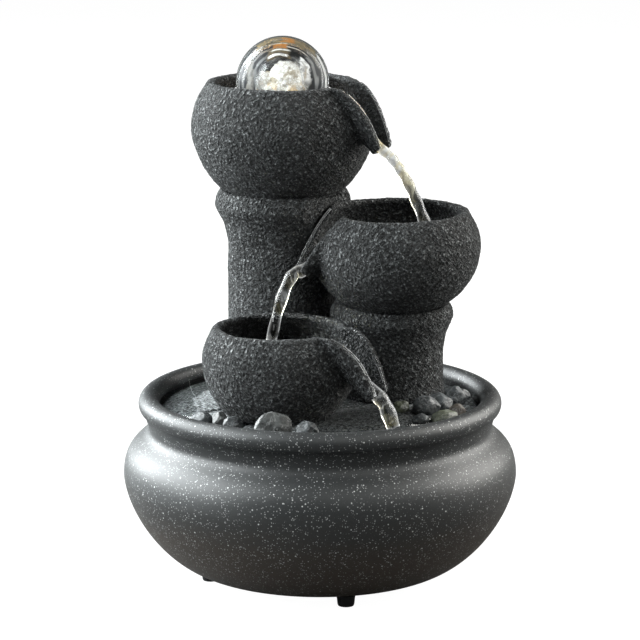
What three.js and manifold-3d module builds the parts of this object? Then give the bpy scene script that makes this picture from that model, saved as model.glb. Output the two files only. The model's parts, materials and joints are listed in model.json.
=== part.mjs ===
// Tabletop water fountain: three cast stone-look bowls on two pillars in a round basin,
// a glass ball on the top bowl, and the pump, light and leads that work it.
// Millimetres, +Z up, origin on the basin's axis at the bottom of the feet, front along -Y.
import * as THREE from 'three';
import { mergeVertices } from 'three/addons/utils/BufferGeometryUtils.js';
import Module from 'manifold-3d';

const wasm = await Module();
wasm.setup();

// ---------------------------------------------------------------- driving dimensions
const gap = 0.3; // running and seating clearance between separate pieces
const past = 1; // how far a cutting shape runs past the face it opens
const farPast = 300; // size of a block that cuts away all on one side

// Basin
const basinRadius = 104.8;
const basinBaseRadius = 63;
const basinFullness = 1.6; // power of the belly's curve, 2 is an ellipse
const basinBulgeHeight = 51; // underside to the widest line
const basinNeckHeight = 77; // underside to the neck
const basinNeckRadius = 91.5;
const shoulderReach = 20; // how long the shoulder keeps upright above the widest line
const neckReach = 8; // how long the neck's cove keeps upright below the neck
const basinWall = 4.2;
const basinFloor = 5;
const lipInset = 0.5; // neck to the centre line of the rolled lip
const lipTube = 5.6;
const lipRise = 12.2; // neck to the lip's centre line
const lipStart = -50; // degrees, where the lip's round begins outside
const lipSweep = 280;

// Feet
const footHeight = 6;
const footRadius = 5;
const footTaper = 0.7;
const footInset = 3; // base's edge to the circle of the feet
const footTurn = -77; // degrees, the foot nearest the front
const footCount = 4;

// Deck
const deckClearance = 5.9; // neck's inside to the deck's edge
const deckSink = 5.3; // lip crest to the deck's top
const deckEdgeDrop = 4.5;
const deckThickness = 7;
const deckFlatShare = 0.62;
const deckLegRadius = 6;
const deckLegInset = 13; // base's edge to the circle of the legs
const deckLegCount = 4;
const deckLegTurn = 65; // degrees
const drainWidth = 3.4;
const drainLength = 16;
const drainInset = 21.4; // deck's edge to the circle of the slots
const drainAngles = [-30, -12, 200, 232];

// Tall pillar
const tallX = -20;
const tallY = 44;
const tallHeight = 107;
const tallShaftRadius = 30;
const tallCollarRadius = 37;
const tallCollarDrop = 9;
const tallBore = 14;
const boreFlareDepth = 14; // the bore widens over this depth below the top bowl

// Short pillar
const shortX = 38.5;
const shortY = 16;
const shortHeight = 51;
const shortShaftRadius = 27.5;
const shortCollarRadius = 33;
const shortCollarDrop = 8;

// Both pillars: foot flare, and the collar's shares of its overhang and its drop from the shaft up
const pillarFlare = 1.5;
const pillarFlareHeight = 12;
const collarOutline = [[0, 3.2], [0.35, 2], [1, 1]];
const collarRound = 0.6;
const collarShoulder = 3.2;

// Bowls: ellipsoid shells, cut open at the rim, each with a trough-shaped spout
const bowlWall = 4.4;
const spoutWall = 3.2;
const spoutBack = 12; // spout's bar behind its root, inside the bowl
const channelPast = 6; // channel's bar past the mouth
const clearingReach = 30; // clearing above the rim and past the mouth
const clearingDip = 8; // clearing's far edge below the tip
const topFootCut = 6; // round bottom of the top bowl cut flat by this much
const middleFootCut = 4;
const topBowl = {
  x: tallX, y: tallY, radius: 49, above: 38, below: 47.5, rim: 22.6, seatRadius: 32.4,
  spoutAngle: -28, spoutRoot: 40, spoutReach: 62, spoutDrop: 31.5, rootHalf: 12.6, mouthHalf: 4.8,
  edgeReach: 0.62, edgeDrop: 0.17, skew: 0,
};
const middleBowl = {
  x: 40, y: 12, radius: 45.4, above: 36, below: 38, rim: 19.6, seatRadius: 27.5,
  spoutAngle: 194, spoutRoot: 31, spoutReach: 53, spoutDrop: 30, rootHalf: 14.5, mouthHalf: 5,
  edgeReach: 0.44, edgeDrop: 0.26, skew: -8,
};
const lowerBowl = {
  x: -21, y: -30, radius: 40.4, above: 32, below: 39.5, rim: 17.2, seatRadius: 27,
  spoutAngle: -28.5, spoutRoot: 36, spoutReach: 59.5, spoutDrop: 29.5, rootHalf: 12.4, mouthHalf: 5,
  edgeReach: 0.68, edgeDrop: 0.17, skew: -4,
};

// Glass ball and its water cup
const ballRadius = 25;
const ballRise = 21.5; // top bowl's widest line to the ball's centre
const cupRadius = 15;
const cupWall = 2.6;
const cupLip = 1;
const stemRadius = 6.4;
const stemBore = 4;
const stemFlangeRadius = 11;
const stemFlange = 2.2;
const stemTail = 14; // stem below the bowl's floor, inside the riser tube
const floorHeight = 12.5; // top bowl's inner floor over its ellipsoid's lowest point

// Light ring round the stem
const lightInner = 12.5;
const lightOuter = 21;
const lightHeight = 7;
const lightWall = 1.4;
const lightBoard = 1.2;
const lightLens = 1.6;
const lensSkirt = 1;

// Riser tube
const riserWall = 2;
const riserBore = 4.5;

// Pump
const pumpWidth = 34;
const pumpLength = 46;
const pumpHeight = 28;
const pumpCorner = 4;
const pumpFrontInset = 2; // pump's outline to that of its cap and sponge
const nozzleRadius = riserBore - gap;
const nozzleWall = 1.4;
const nozzleHeight = 12;
const nozzleInset = 9; // outlet's axis in front of the pump's inlet face
const chamberRadius = 11;
const chamberDepth = 14;
const rotorRadius = 6;
const rotorLength = 20;
const rotorClearance = 0.8;
const bladeRadius = 9.5;
const bladeLength = 9;
const bladeThickness = 1.4;
const bladeCount = 6;
const hubRadius = 2.6;
const shaftRadius = 1;
const capThickness = 2;
const inletRadius = 5;
const spiderWidth = 1.6;
const spongeThickness = 5;
const coverWall = 1.8;
const coverSlots = 5;
const slotWidth = 2.2;
const slotLength = 18;
const knobRadius = 5;
const knobHeight = 4;
const knobStemRadius = 2;
const knobStemLength = 4;
const knobBar = 2;
const cupFootRadius = 5;
const cupFootHeight = 4;
const cupFootTop = 2.4;
const cupInset = 6; // from the pump's ends to a suction cup's edge

// Leads and gland
const leadRadius = 1.3;
const leadBend = 7; // step of a lead's bends
const boreClearance = 2.4; // riser tube to the light's lead
const glandHeight = 69; // basin underside to the gland's axis
const glandRadius = 4;
const glandFlange = 6.5;
const glandFlangeThickness = 2.4;
const glandLength = 18;
const glandInset = 6; // neck to the gland's flange

// Pebbles: x, y, half length, half width, height, turn in degrees
const pebbles = [
  [-23.8, -72, 8.4, 4.2, 13.8, 4, 'quartz'], [-6.6, -72.6, 5.2, 3.9, 8.6, -6, 'slate'],
  [-44.8, -60.4, 4.8, 4.2, 8.6, 30, 'dark'], [71.4, -1.4, 5.6, 4.8, 9, 20, 'slate'],
  [63, -14.4, 6.3, 4.8, 7.4, -12, 'slate'], [55.4, -25.4, 6.9, 4.8, 8, 10, 'dark'],
  [65, -39.6, 6.4, 4.8, 7.2, 14, 'olive'], [72, -26.4, 4.2, 4, 7, 40, 'brown'],
  [42.4, -26.6, 4.2, 3.6, 5.8, 20, 'olive'], [-51.8, -51.6, 4, 3.8, 8, 10, 'quartz'],
  [52.6, -42.4, 4.2, 3.4, 3.8, 25, 'dark'], [76, 13, 4.4, 4.2, 5.5, 0, 'slate'],
  [43, 55, 7, 5.4, 8, -30, 'brown'], [60, 46, 5.4, 4.4, 6.4, 50, 'quartz'],
  [-61, -41, 5.4, 4.4, 6, -40, 'slate'],
];
const pebbleBreaks = 9; // flat faces broken onto each stone
const pebbleReach = 0.82; // how far out those faces lie, as a share of the unbroken stone
const pebbleUneven = 0.07;
const goldenAngle = Math.PI * (3 - Math.sqrt(5));
const pebbleSink = 0.4; // share of a stone's height below its widest line
const pebbleFoot = 2; // depth a stone is trimmed to before the deck's slope is cut from it
const pebbleColours = {
  quartz: 0xa9adab, brown: 0x6a6258, dark: 0x35393a, slate: 0x565b5d, olive: 0x6b7058,
};

// ---------------------------------------------------------------- worked-out sizes and places
const lipRadius = basinNeckRadius - lipInset;
const footCircle = basinBaseRadius - footInset;
const deckRadius = basinNeckRadius - basinWall - deckClearance;
const deckLegCircle = basinBaseRadius - deckLegInset;
const drainCircle = deckRadius - drainInset;
const baseZ = footHeight + gap;
const basinFloorZ = baseZ + basinFloor;
const lipZ = baseZ + basinNeckHeight + lipRise;
const deckTop = lipZ + lipTube - deckSink;
const tallTop = deckTop + tallHeight;
const shortTop = deckTop + shortHeight;
const riserRadius = riserBore + riserWall;

/** Height over its seat of an ellipsoid bowl's widest line. */
function seatRise(bowl) {
  return bowl.below * Math.sqrt(1 - (bowl.seatRadius / bowl.radius) ** 2);
}

topBowl.z = tallTop + seatRise(topBowl);
middleBowl.z = shortTop + seatRise(middleBowl);
lowerBowl.z = deckTop + gap + seatRise(lowerBowl);
const ballZ = topBowl.z + ballRise;
const topFloorZ = topBowl.z - topBowl.below + floorHeight;
const topBottomZ = topBowl.z - topBowl.below + topFootCut;
const middleBottomZ = middleBowl.z - middleBowl.below + middleFootCut;
const lowerBottomZ = deckTop + gap;

const pumpFloorZ = basinFloorZ + gap + cupFootHeight + gap;
const pumpRoofZ = pumpFloorZ + pumpHeight;
const pumpFrontY = tallY + nozzleInset; // inlet face
const pumpAxisZ = pumpFloorZ + pumpHeight / 2;
const nozzleTopZ = pumpRoofZ + nozzleHeight;
const rotorBackY = pumpFrontY - chamberDepth - rotorLength;
const knobFaceX = tallX + pumpWidth / 2;

const leadX = tallX + (lightInner + lightOuter) / 2;
const glandZ = baseZ + glandHeight;
const glandFaceY = basinNeckRadius - glandInset;

// ---------------------------------------------------------------- materials
function finish(color, roughness, metalness = 0) {
  return new THREE.MeshStandardMaterial({ color, roughness, metalness });
}

const castStone = finish(0x43474a, 0.85);
const glazedBasin = finish(0x3a3b3c, 0.42);
const blackRubber = finish(0x191a1b, 0.8);
const clearGlass = finish(0xe6ecee, 0.03);
const pumpPlastic = finish(0x1d2023, 0.5);
const clearPlastic = finish(0xd8dcdc, 0.2);
const whitePlastic = finish(0xd9d9d4, 0.45);
const sponge = finish(0x26292b, 0.95);
const boardGreen = finish(0x2c5a3a, 0.6);
const steel = finish(0xb9bcc0, 0.3, 1);

const group = new THREE.Group();

// ---------------------------------------------------------------- geometry helpers
const radians = THREE.MathUtils.degToRad;

/** A closed three.js geometry as a manifold solid. */
function solid(geometry) {
  const plain = geometry.index ? geometry.toNonIndexed() : geometry.clone();
  plain.deleteAttribute('normal');
  plain.deleteAttribute('uv');
  const merged = mergeVertices(plain, 1e-4);
  const mesh = new wasm.Mesh({
    numProp: 3,
    vertProperties: Float32Array.from(merged.attributes.position.array),
    triVerts: Uint32Array.from(merged.index.array),
  });
  return new wasm.Manifold(mesh);
}

/** A manifold solid as a three.js geometry. */
function geometryOf(body) {
  const mesh = body.getMesh();
  const geometry = new THREE.BufferGeometry();
  geometry.setAttribute('position', new THREE.BufferAttribute(mesh.vertProperties, 3));
  geometry.setIndex(new THREE.BufferAttribute(mesh.triVerts, 1));
  geometry.computeVertexNormals();
  return geometry;
}

/** Adds a named piece to the model. */
function piece(name, shape, material) {
  const geometry = shape.isBufferGeometry ? shape : geometryOf(shape);
  const mesh = new THREE.Mesh(geometry, material);
  mesh.name = name;
  group.add(mesh);
}

/** Revolves [radius, height] points about the vertical axis through (x, y). */
function turned(points, segments, x = 0, y = 0) {
  const outline = points.map(([r, z]) => new THREE.Vector2(r, z));
  const geometry = new THREE.LatheGeometry(outline, segments);
  geometry.rotateX(Math.PI / 2);
  geometry.translate(x, y, 0);
  return solid(geometry);
}

/** A vertical cylinder from z0 to z1, with its own radius at each end. */
function rod(r0, r1, z0, z1, x, y, segments = 24) {
  return turned([[0, z0], [r0, z0], [r1, z1], [0, z1]], segments, x, y);
}

/** A vertical ring from z0 to z1. */
function ring(inner, outer, z0, z1, x, y, segments = 24) {
  return turned([[inner, z0], [outer, z0], [outer, z1], [inner, z1], [inner, z0]], segments, x, y);
}

/** A cylinder along Y from y0 to y1 about the axis (x, z). */
function rodAlongY(radius, y0, y1, x, z, segments = 24) {
  const geometry = new THREE.CylinderGeometry(radius, radius, y1 - y0, segments);
  geometry.translate(x, (y0 + y1) / 2, z);
  return solid(geometry);
}

/** A box from its centre and sizes. */
function block(width, depth, height, x, y, z) {
  const geometry = new THREE.BoxGeometry(width, depth, height);
  geometry.translate(x, y, z);
  return solid(geometry);
}

/** A flat outline in [x, z], extruded along Y between y0 and y1. */
function plateAlongY(shape, y0, y1) {
  const options = { depth: y1 - y0, bevelEnabled: false, curveSegments: 5 };
  const geometry = new THREE.ExtrudeGeometry(shape, options);
  geometry.rotateX(Math.PI / 2);
  geometry.translate(0, y1, 0);
  return solid(geometry);
}

/** A rectangle with round corners about (x, z). */
function roundedOutline(width, height, corner, x, z) {
  const shape = new THREE.Shape();
  const left = x - width / 2;
  const right = x + width / 2;
  const low = z - height / 2;
  const high = z + height / 2;
  shape.moveTo(left + corner, low);
  shape.lineTo(right - corner, low);
  shape.absarc(right - corner, low + corner, corner, -Math.PI / 2, 0);
  shape.absarc(right - corner, high - corner, corner, 0, Math.PI / 2);
  shape.absarc(left + corner, high - corner, corner, Math.PI / 2, Math.PI);
  shape.absarc(left + corner, low + corner, corner, Math.PI, 1.5 * Math.PI);
  return shape;
}

/** Points of an ellipse quarter about (0, z), from angle a0 to a1 in radians, angle 0 at the side. */
function ellipseArc(radius, height, z, a0, a1, steps) {
  const points = [];
  for (let i = 0; i <= steps; i += 1) {
    const a = a0 + ((a1 - a0) * i) / steps;
    points.push([radius * Math.cos(a), z + height * Math.sin(a)]);
  }
  return points;
}

/** Points of a superellipse quarter from (r0, z0), flat, to (r1, z1), upright. */
function fullArc(r0, z0, r1, z1, power, steps) {
  const points = [];
  for (let i = 0; i <= steps; i += 1) {
    const a = (i / steps) * (Math.PI / 2);
    const r = r0 + (r1 - r0) * Math.sin(a) ** (2 / power);
    const z = z1 + (z0 - z1) * Math.cos(a) ** (2 / power);
    points.push([r, z]);
  }
  return points;
}

// ---------------------------------------------------------------- basin and feet
/** One skin of the basin from its flat base over the belly and the shoulder to the neck. */
function basinSkin(inset, floorZ, steps) {
  const bulgeZ = baseZ + basinBulgeHeight;
  const neckZ = baseZ + basinNeckHeight;
  const wide = basinRadius - inset;
  const narrow = basinNeckRadius - inset;
  const belly = fullArc(basinBaseRadius - inset, floorZ, wide, bulgeZ, basinFullness, steps);
  const shoulder = new THREE.CubicBezierCurve(
    new THREE.Vector2(wide, bulgeZ),
    new THREE.Vector2(wide, bulgeZ + shoulderReach),
    new THREE.Vector2(narrow, neckZ - neckReach),
    new THREE.Vector2(narrow, neckZ),
  );
  const rest = shoulder.getPoints(steps).slice(1).map((p) => [p.x, p.y]);
  return [...belly, ...rest];
}

function basinProfile() {
  const outside = [[0, baseZ], ...basinSkin(0, baseZ, 9)];
  const inside = [[0, basinFloorZ], ...basinSkin(basinWall, basinFloorZ, 5)].reverse();
  const lip = [];
  const lipSteps = 8;
  for (let i = 0; i <= lipSteps; i += 1) {
    const a = radians(lipStart + (i * lipSweep) / lipSteps);
    lip.push([lipRadius + lipTube * Math.cos(a), lipZ + lipTube * Math.sin(a)]);
  }
  return [...outside, ...lip, ...inside];
}

function makeBasin() {
  const shell = turned(basinProfile(), 48);
  const glandHole = rodAlongY(glandRadius + gap, glandFaceY, basinRadius + past, 0, glandZ);
  piece('basin', shell.subtract(glandHole), glazedBasin);
}

function makeFeet() {
  for (let i = 0; i < footCount; i += 1) {
    const a = radians(footTurn + (i * 360) / footCount);
    const x = footCircle * Math.cos(a);
    const y = footCircle * Math.sin(a);
    const foot = rod(footRadius - footTaper, footRadius, 0, footHeight, x, y, 20);
    piece(`foot_${i + 1}`, foot, blackRubber);
  }
}

// ---------------------------------------------------------------- deck
/** The deck's plate, domed to its edge, raised by a clearance for what stands on it. */
function deckPlate(raise) {
  const edge = [];
  const steps = 5;
  const flat = deckRadius * deckFlatShare;
  for (let i = 0; i <= steps; i += 1) {
    const share = i / steps;
    edge.push([flat + (deckRadius - flat) * share, deckTop + raise - deckEdgeDrop * share ** 2]);
  }
  const bottom = deckTop - deckThickness;
  return turned([[0, bottom], [deckRadius - gap, bottom], ...edge.reverse(), [0, deckTop + raise]], 48);
}

function drainSlot(angle) {
  const slot = block(drainWidth, drainLength, deckThickness * 3, 0, drainCircle, deckTop);
  return slot.rotate([0, 0, angle - 90]);
}

function makeDeck() {
  let deck = deckPlate(0);
  for (let i = 0; i < deckLegCount; i += 1) {
    const a = radians(deckLegTurn + (i * 360) / deckLegCount);
    const x = deckLegCircle * Math.cos(a);
    const y = deckLegCircle * Math.sin(a);
    deck = deck.add(rod(deckLegRadius, deckLegRadius, basinFloorZ + gap, deckTop - past, x, y, 16));
  }
  deck = deck.subtract(rod(tallBore, tallBore, 0, deckTop + past, tallX, tallY));
  drainAngles.forEach((angle) => {
    deck = deck.subtract(drainSlot(angle));
  });
  piece('deck', deck, castStone);
}

// ---------------------------------------------------------------- bowls
/** The bowl's outer or inner skin, from its bottom to its rim. */
function bowlSkin(bowl, inset, bottomZ, topZ, steps) {
  const radius = bowl.radius - inset;
  const below = bowl.below - inset;
  const above = bowl.above - inset;
  const low = Math.asin(Math.max(-1, (bottomZ - bowl.z) / below));
  const high = Math.asin((topZ - bowl.z) / above);
  const lower = ellipseArc(radius, below, bowl.z, low, 0, steps);
  const upper = ellipseArc(radius, above, bowl.z, 0, high, Math.ceil(steps * 0.6));
  return [...lower, ...upper.slice(1)];
}

/** The bowl's plain round shell with a rolled rim. */
function bowlShell(bowl, bottomZ, floorZ) {
  const rimZ = bowl.z + bowl.rim;
  const roll = bowlWall / 2;
  const outside = bowlSkin(bowl, 0, bottomZ, rimZ - roll, 6);
  const inside = bowlSkin(bowl, bowlWall, floorZ, rimZ - roll, 5).reverse();
  const outer = outside[outside.length - 1];
  const inner = inside[0];
  const middle = (outer[0] + inner[0]) / 2;
  const half = (outer[0] - inner[0]) / 2;
  const crown = [];
  for (let i = 1; i < 4; i += 1) {
    const a = (i * Math.PI) / 4;
    crown.push([middle + half * Math.cos(a), rimZ - roll + roll * Math.sin(a)]);
  }
  return turned([[0, bottomZ], ...outside, ...crown, ...inside, [0, floorZ]], 36, bowl.x, bowl.y);
}

/** The space inside the bowl, open to well above the rim. */
function bowlHollow(bowl, floorZ) {
  const rimZ = bowl.z + bowl.rim;
  const inside = bowlSkin(bowl, bowlWall, floorZ, rimZ - bowlWall / 2, 5);
  const mouth = inside[inside.length - 1][0];
  const top = rimZ + clearingReach;
  return turned([[0, floorZ], ...inside, [mouth, top], [0, top]], 36, bowl.x, bowl.y);
}

/** A tapered round bar down the spout's slope, in the bowl's own [out, side, up] frame. */
function spoutBar(bowl, wall, beyond) {
  const rimZ = bowl.z + bowl.rim;
  const start = new THREE.Vector3(bowl.spoutRoot, 0, rimZ);
  const end = new THREE.Vector3(bowl.spoutReach, 0, rimZ - bowl.spoutDrop);
  const slope = end.clone().sub(start).normalize();
  const run = start.distanceTo(end);
  const taper = (bowl.rootHalf - bowl.mouthHalf) / run;
  const rootRadius = bowl.rootHalf + taper * spoutBack + wall;
  const mouthRadius = bowl.mouthHalf - taper * beyond + wall;
  const length = run + spoutBack + beyond;
  const outline = [[0, 0], [rootRadius, 0], [mouthRadius, length], [0, length]];
  const points = outline.map(([r, z]) => new THREE.Vector2(r, z));
  const geometry = new THREE.LatheGeometry(points, 20);
  const turn = new THREE.Quaternion().setFromUnitVectors(new THREE.Vector3(0, 1, 0), slope);
  geometry.applyQuaternion(turn);
  const from = start.clone().addScaledVector(slope, -spoutBack);
  geometry.translate(from.x, from.y, from.z);
  return solid(geometry);
}

/** What lies over the spout's falling edge: cut away, so the rim runs down to the mouth. */
function spoutClearing(bowl) {
  const rimZ = bowl.z + bowl.rim;
  const run = bowl.spoutReach - bowl.spoutRoot;
  const high = rimZ + clearingReach;
  const far = bowl.spoutReach + clearingReach;
  const shape = new THREE.Shape();
  const tipZ = rimZ - bowl.spoutDrop;
  shape.moveTo(bowl.spoutRoot, high);
  shape.lineTo(bowl.spoutRoot, rimZ);
  const bendOut = bowl.spoutRoot + run * bowl.edgeReach;
  shape.quadraticCurveTo(bendOut, rimZ - bowl.spoutDrop * bowl.edgeDrop, bowl.spoutReach, tipZ);
  shape.lineTo(far, tipZ - clearingDip);
  shape.lineTo(far, high);
  const half = bowl.rootHalf * 2;
  const options = { depth: half * 2, bevelEnabled: false, curveSegments: 8 };
  const geometry = new THREE.ExtrudeGeometry(shape, options);
  geometry.rotateX(Math.PI / 2);
  geometry.translate(-bowl.spoutRoot, half, 0);
  geometry.rotateZ(radians(bowl.skew));
  geometry.translate(bowl.spoutRoot, 0, 0);
  return solid(geometry);
}

/** Turns a solid from the bowl's own frame to its place. */
function atBowl(body, bowl) {
  return body.rotate([0, 0, bowl.spoutAngle]).translate([bowl.x, bowl.y, 0]);
}

/** The whole bowl with its spout. */
function makeBowl(bowl, bottomZ, floorZ) {
  const lip = atBowl(spoutBar(bowl, spoutWall, 0), bowl);
  const channel = atBowl(spoutBar(bowl, 0, channelPast), bowl);
  const above = block(farPast, farPast, farPast, 0, 0, bowl.z + bowl.rim + farPast / 2);
  const beak = lip.subtract(bowlHollow(bowl, floorZ)).subtract(above);
  const whole = bowlShell(bowl, bottomZ, floorZ).add(beak);
  return whole.subtract(channel).subtract(atBowl(spoutClearing(bowl), bowl));
}

/** The outer form of a bowl, grown by a clearance, that pillars are cut to. */
function bowlForm(bowl, bottomZ, grow) {
  const big = { ...bowl, radius: bowl.radius + grow, above: bowl.above + grow, below: bowl.below + grow };
  const outside = bowlSkin(big, 0, bottomZ - grow, bowl.z + bowl.rim, 11);
  const top = bowl.z + bowl.rim + spoutBack;
  const rimOut = outside[outside.length - 1][0];
  const ball = turned([[0, bottomZ - grow], ...outside, [rimOut, top], [0, top]], 36, bowl.x, bowl.y);
  return ball.add(atBowl(spoutBar(bowl, spoutWall + grow, grow), bowl));
}

// ---------------------------------------------------------------- pillars
/** A pillar with a flared collar; it reaches below the deck's edge before it is cut to the deck. */
function pillarBody(x, y, top, shaft, collar, drop) {
  const low = deckTop - deckEdgeDrop;
  const points = [[0, low], [shaft + pillarFlare, low], [shaft, low + pillarFlareHeight]];
  collarOutline.forEach(([out, down]) => {
    points.push([shaft + (collar - shaft) * out, top - drop * down]);
  });
  points.push([collar - collarRound, top - drop / 2], [collar - collarShoulder, top], [0, top]);
  return turned(points, 32, x, y);
}

function makeTallPillar() {
  const body = pillarBody(tallX, tallY, tallTop, tallShaftRadius, tallCollarRadius, tallCollarDrop);
  const flareZ = topBottomZ - boreFlareDepth;
  const flare = rod(tallBore, lightOuter, flareZ, topBottomZ + past, tallX, tallY, 28);
  const cut = body
    .subtract(deckPlate(gap))
    .subtract(bowlForm(topBowl, topBottomZ, gap))
    .subtract(bowlForm(middleBowl, middleBottomZ, gap))
    .subtract(rod(tallBore, tallBore, 0, tallTop + past, tallX, tallY, 28))
    .subtract(flare);
  piece('tall_pillar', cut, castStone);
}

function makeShortPillar() {
  const body = pillarBody(shortX, shortY, shortTop, shortShaftRadius, shortCollarRadius, shortCollarDrop);
  const cut = body.subtract(deckPlate(gap)).subtract(bowlForm(middleBowl, middleBottomZ, gap));
  piece('short_pillar', cut, castStone);
}

// ---------------------------------------------------------------- ball, cup and light
function makeBall() {
  const geometry = new THREE.SphereGeometry(ballRadius, 24, 16);
  geometry.rotateX(Math.PI / 2);
  geometry.translate(tallX, tallY, ballZ);
  piece('glass_ball', solid(geometry), clearGlass);
}

/** The cup that the ball floats in, on a hollow stem through the bowl's floor. */
function makeCup() {
  const seat = ballRadius + gap;
  const seatZ = (r) => ballZ - Math.sqrt(seat ** 2 - r ** 2);
  const bowlArc = [];
  const steps = 4;
  for (let i = 0; i <= steps; i += 1) {
    const r = stemBore + ((cupRadius - stemBore) * i) / steps;
    bowlArc.push([r, seatZ(r)]);
  }
  const flangeZ = topFloorZ + gap;
  const tailZ = topFloorZ - stemTail;
  const shoulderZ = topFloorZ - stemTail / 2;
  const bore = stemBore - past;
  const rimRadius = cupRadius + cupLip;
  const points = [
    [bore, tailZ], [nozzleRadius, tailZ], [nozzleRadius, shoulderZ], [stemRadius, shoulderZ],
    [stemRadius, flangeZ], [stemFlangeRadius, flangeZ], [stemFlangeRadius, flangeZ + stemFlange],
    [stemRadius, flangeZ + stemFlange], [stemRadius, seatZ(stemRadius) - cupWall * 2],
    [rimRadius, seatZ(cupRadius) - cupWall], [rimRadius, seatZ(cupRadius)], ...bowlArc.reverse(),
    [bore, seatZ(stemBore) - cupWall], [bore, tailZ],
  ];
  piece('ball_cup', turned(points, 24, tallX, tallY), whitePlastic);
}

function makeLight() {
  const low = topFloorZ + gap;
  const high = low + lightHeight;
  const body = ring(lightInner, lightOuter, low, high, tallX, tallY);
  const floorZ = low + lightWall;
  const trench = ring(lightInner + lightWall, lightOuter - lightWall, floorZ, high + past, tallX, tallY);
  const leadHole = rod(leadRadius + gap, leadRadius + gap, low - past, floorZ + past, leadX, tallY, 10);
  piece('light_housing', body.subtract(trench).subtract(leadHole), pumpPlastic);
  const inner = lightInner + lightWall + gap;
  const outer = lightOuter - lightWall - gap;
  const boardZ = floorZ + gap;
  piece('light_board', ring(inner, outer, boardZ, boardZ + lightBoard, tallX, tallY), boardGreen);
  const skirtZ = boardZ + lightBoard + gap;
  const lens = ring(inner, outer, skirtZ, high, tallX, tallY);
  const under = ring(inner + lensSkirt, outer - lensSkirt, skirtZ - past, high - lightLens, tallX, tallY);
  piece('light_lens', lens.subtract(under), clearPlastic);
}

// ---------------------------------------------------------------- pump
/** A round bar along X through the pump's side, about the knob's axis. */
function barAlongX(radius, x0, x1, segments) {
  const geometry = new THREE.CylinderGeometry(radius, radius, x1 - x0, segments);
  geometry.rotateZ(Math.PI / 2);
  geometry.translate((x0 + x1) / 2, tallY, pumpAxisZ);
  return solid(geometry);
}

function makePump() {
  const outline = roundedOutline(pumpWidth, pumpHeight, pumpCorner, tallX, pumpAxisZ);
  const shell = plateAlongY(outline, pumpFrontY - pumpLength, pumpFrontY);
  const nozzle = rod(nozzleRadius, nozzleRadius, pumpRoofZ - past, nozzleTopZ, tallX, tallY);
  const chamber = rodAlongY(chamberRadius, pumpFrontY - chamberDepth, pumpFrontY + past, tallX, pumpAxisZ);
  const rotorRoom = rodAlongY(rotorRadius + rotorClearance, rotorBackY - past, pumpFrontY, tallX, pumpAxisZ);
  const waterRadius = nozzleRadius - nozzleWall;
  const outlet = rod(waterRadius, waterRadius, pumpAxisZ, nozzleTopZ + past, tallX, tallY);
  const knobHole = barAlongX(knobStemRadius, knobFaceX - knobStemLength, knobFaceX + past, 16);
  const body = shell.add(nozzle).subtract(chamber).subtract(rotorRoom);
  piece('pump_body', body.subtract(outlet).subtract(knobHole), pumpPlastic);
}

function makeImpeller() {
  const wheelY = pumpFrontY - chamberDepth; // magnet's face, where the blades begin
  const front = wheelY + bladeLength;
  const magnet = rodAlongY(rotorRadius, rotorBackY + gap, wheelY + past, tallX, pumpAxisZ);
  let rotor = magnet.add(rodAlongY(hubRadius, wheelY, front, tallX, pumpAxisZ, 16));
  for (let i = 0; i < bladeCount / 2; i += 1) {
    const blade = block(bladeRadius * 2, bladeLength - past, bladeThickness, 0, 0, 0);
    const turnedBlade = blade.rotate([0, (i * 360) / bladeCount, 0]);
    rotor = rotor.add(turnedBlade.translate([tallX, wheelY + (bladeLength + past) / 2, pumpAxisZ]));
  }
  const bore = rodAlongY(shaftRadius + gap, rotorBackY, front + past, tallX, pumpAxisZ, 12);
  piece('impeller', rotor.subtract(bore), whitePlastic);
  const shaftBackY = rotorBackY - past + gap;
  const shaft = rodAlongY(shaftRadius, shaftBackY, pumpFrontY - capThickness, tallX, pumpAxisZ, 12);
  piece('impeller_shaft', shaft, steel);
}

/** The cap, the sponge and the slotted cover on the pump's inlet face. */
function makePumpFront() {
  const capY = pumpFrontY + gap;
  const spongeY = capY + capThickness + gap;
  const coverEnd = spongeY + spongeThickness + gap + coverWall;
  const frontOutline = (inset, corner) => {
    const width = pumpWidth - 2 * inset;
    return roundedOutline(width, pumpHeight - 2 * inset, corner, tallX, pumpAxisZ);
  };
  const inner = frontOutline(pumpFrontInset, pumpCorner - past);

  const inlet = rodAlongY(inletRadius, capY - past, capY + capThickness + past, tallX, pumpAxisZ);
  const cap = plateAlongY(inner, capY, capY + capThickness).subtract(inlet);
  const spiderY = capY + capThickness / 2;
  const spider = block((inletRadius + past) * 2, capThickness, spiderWidth, tallX, spiderY, pumpAxisZ);
  piece('impeller_cap', cap.add(spider), pumpPlastic);
  piece('inlet_sponge', plateAlongY(inner, spongeY, spongeY + spongeThickness), sponge);

  const room = frontOutline(pumpFrontInset - gap, pumpCorner - past);
  const hollow = plateAlongY(room, capY - past, coverEnd - coverWall);
  let cover = plateAlongY(frontOutline(0, pumpCorner), capY, coverEnd).subtract(hollow);
  for (let i = 0; i < coverSlots; i += 1) {
    const z = pumpAxisZ + (i - (coverSlots - 1) / 2) * slotWidth * 2;
    cover = cover.subtract(block(slotLength, coverWall * 3, slotWidth, tallX, coverEnd, z));
  }
  piece('inlet_cover', cover, pumpPlastic);
}

/** The flow knob in the pump's side, on a short stem that turns a gate. */
function makeKnob() {
  const near = knobFaceX + gap;
  const grip = barAlongX(knobRadius, near, near + knobHeight, 20);
  const stem = barAlongX(knobStemRadius - gap, near + past - knobStemLength, near + past, 16);
  const bar = block(knobHeight, knobBar, knobRadius * 2.4, near + knobHeight / 2, tallY, pumpAxisZ);
  piece('flow_knob', grip.add(stem).add(bar), whitePlastic);
}

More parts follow.
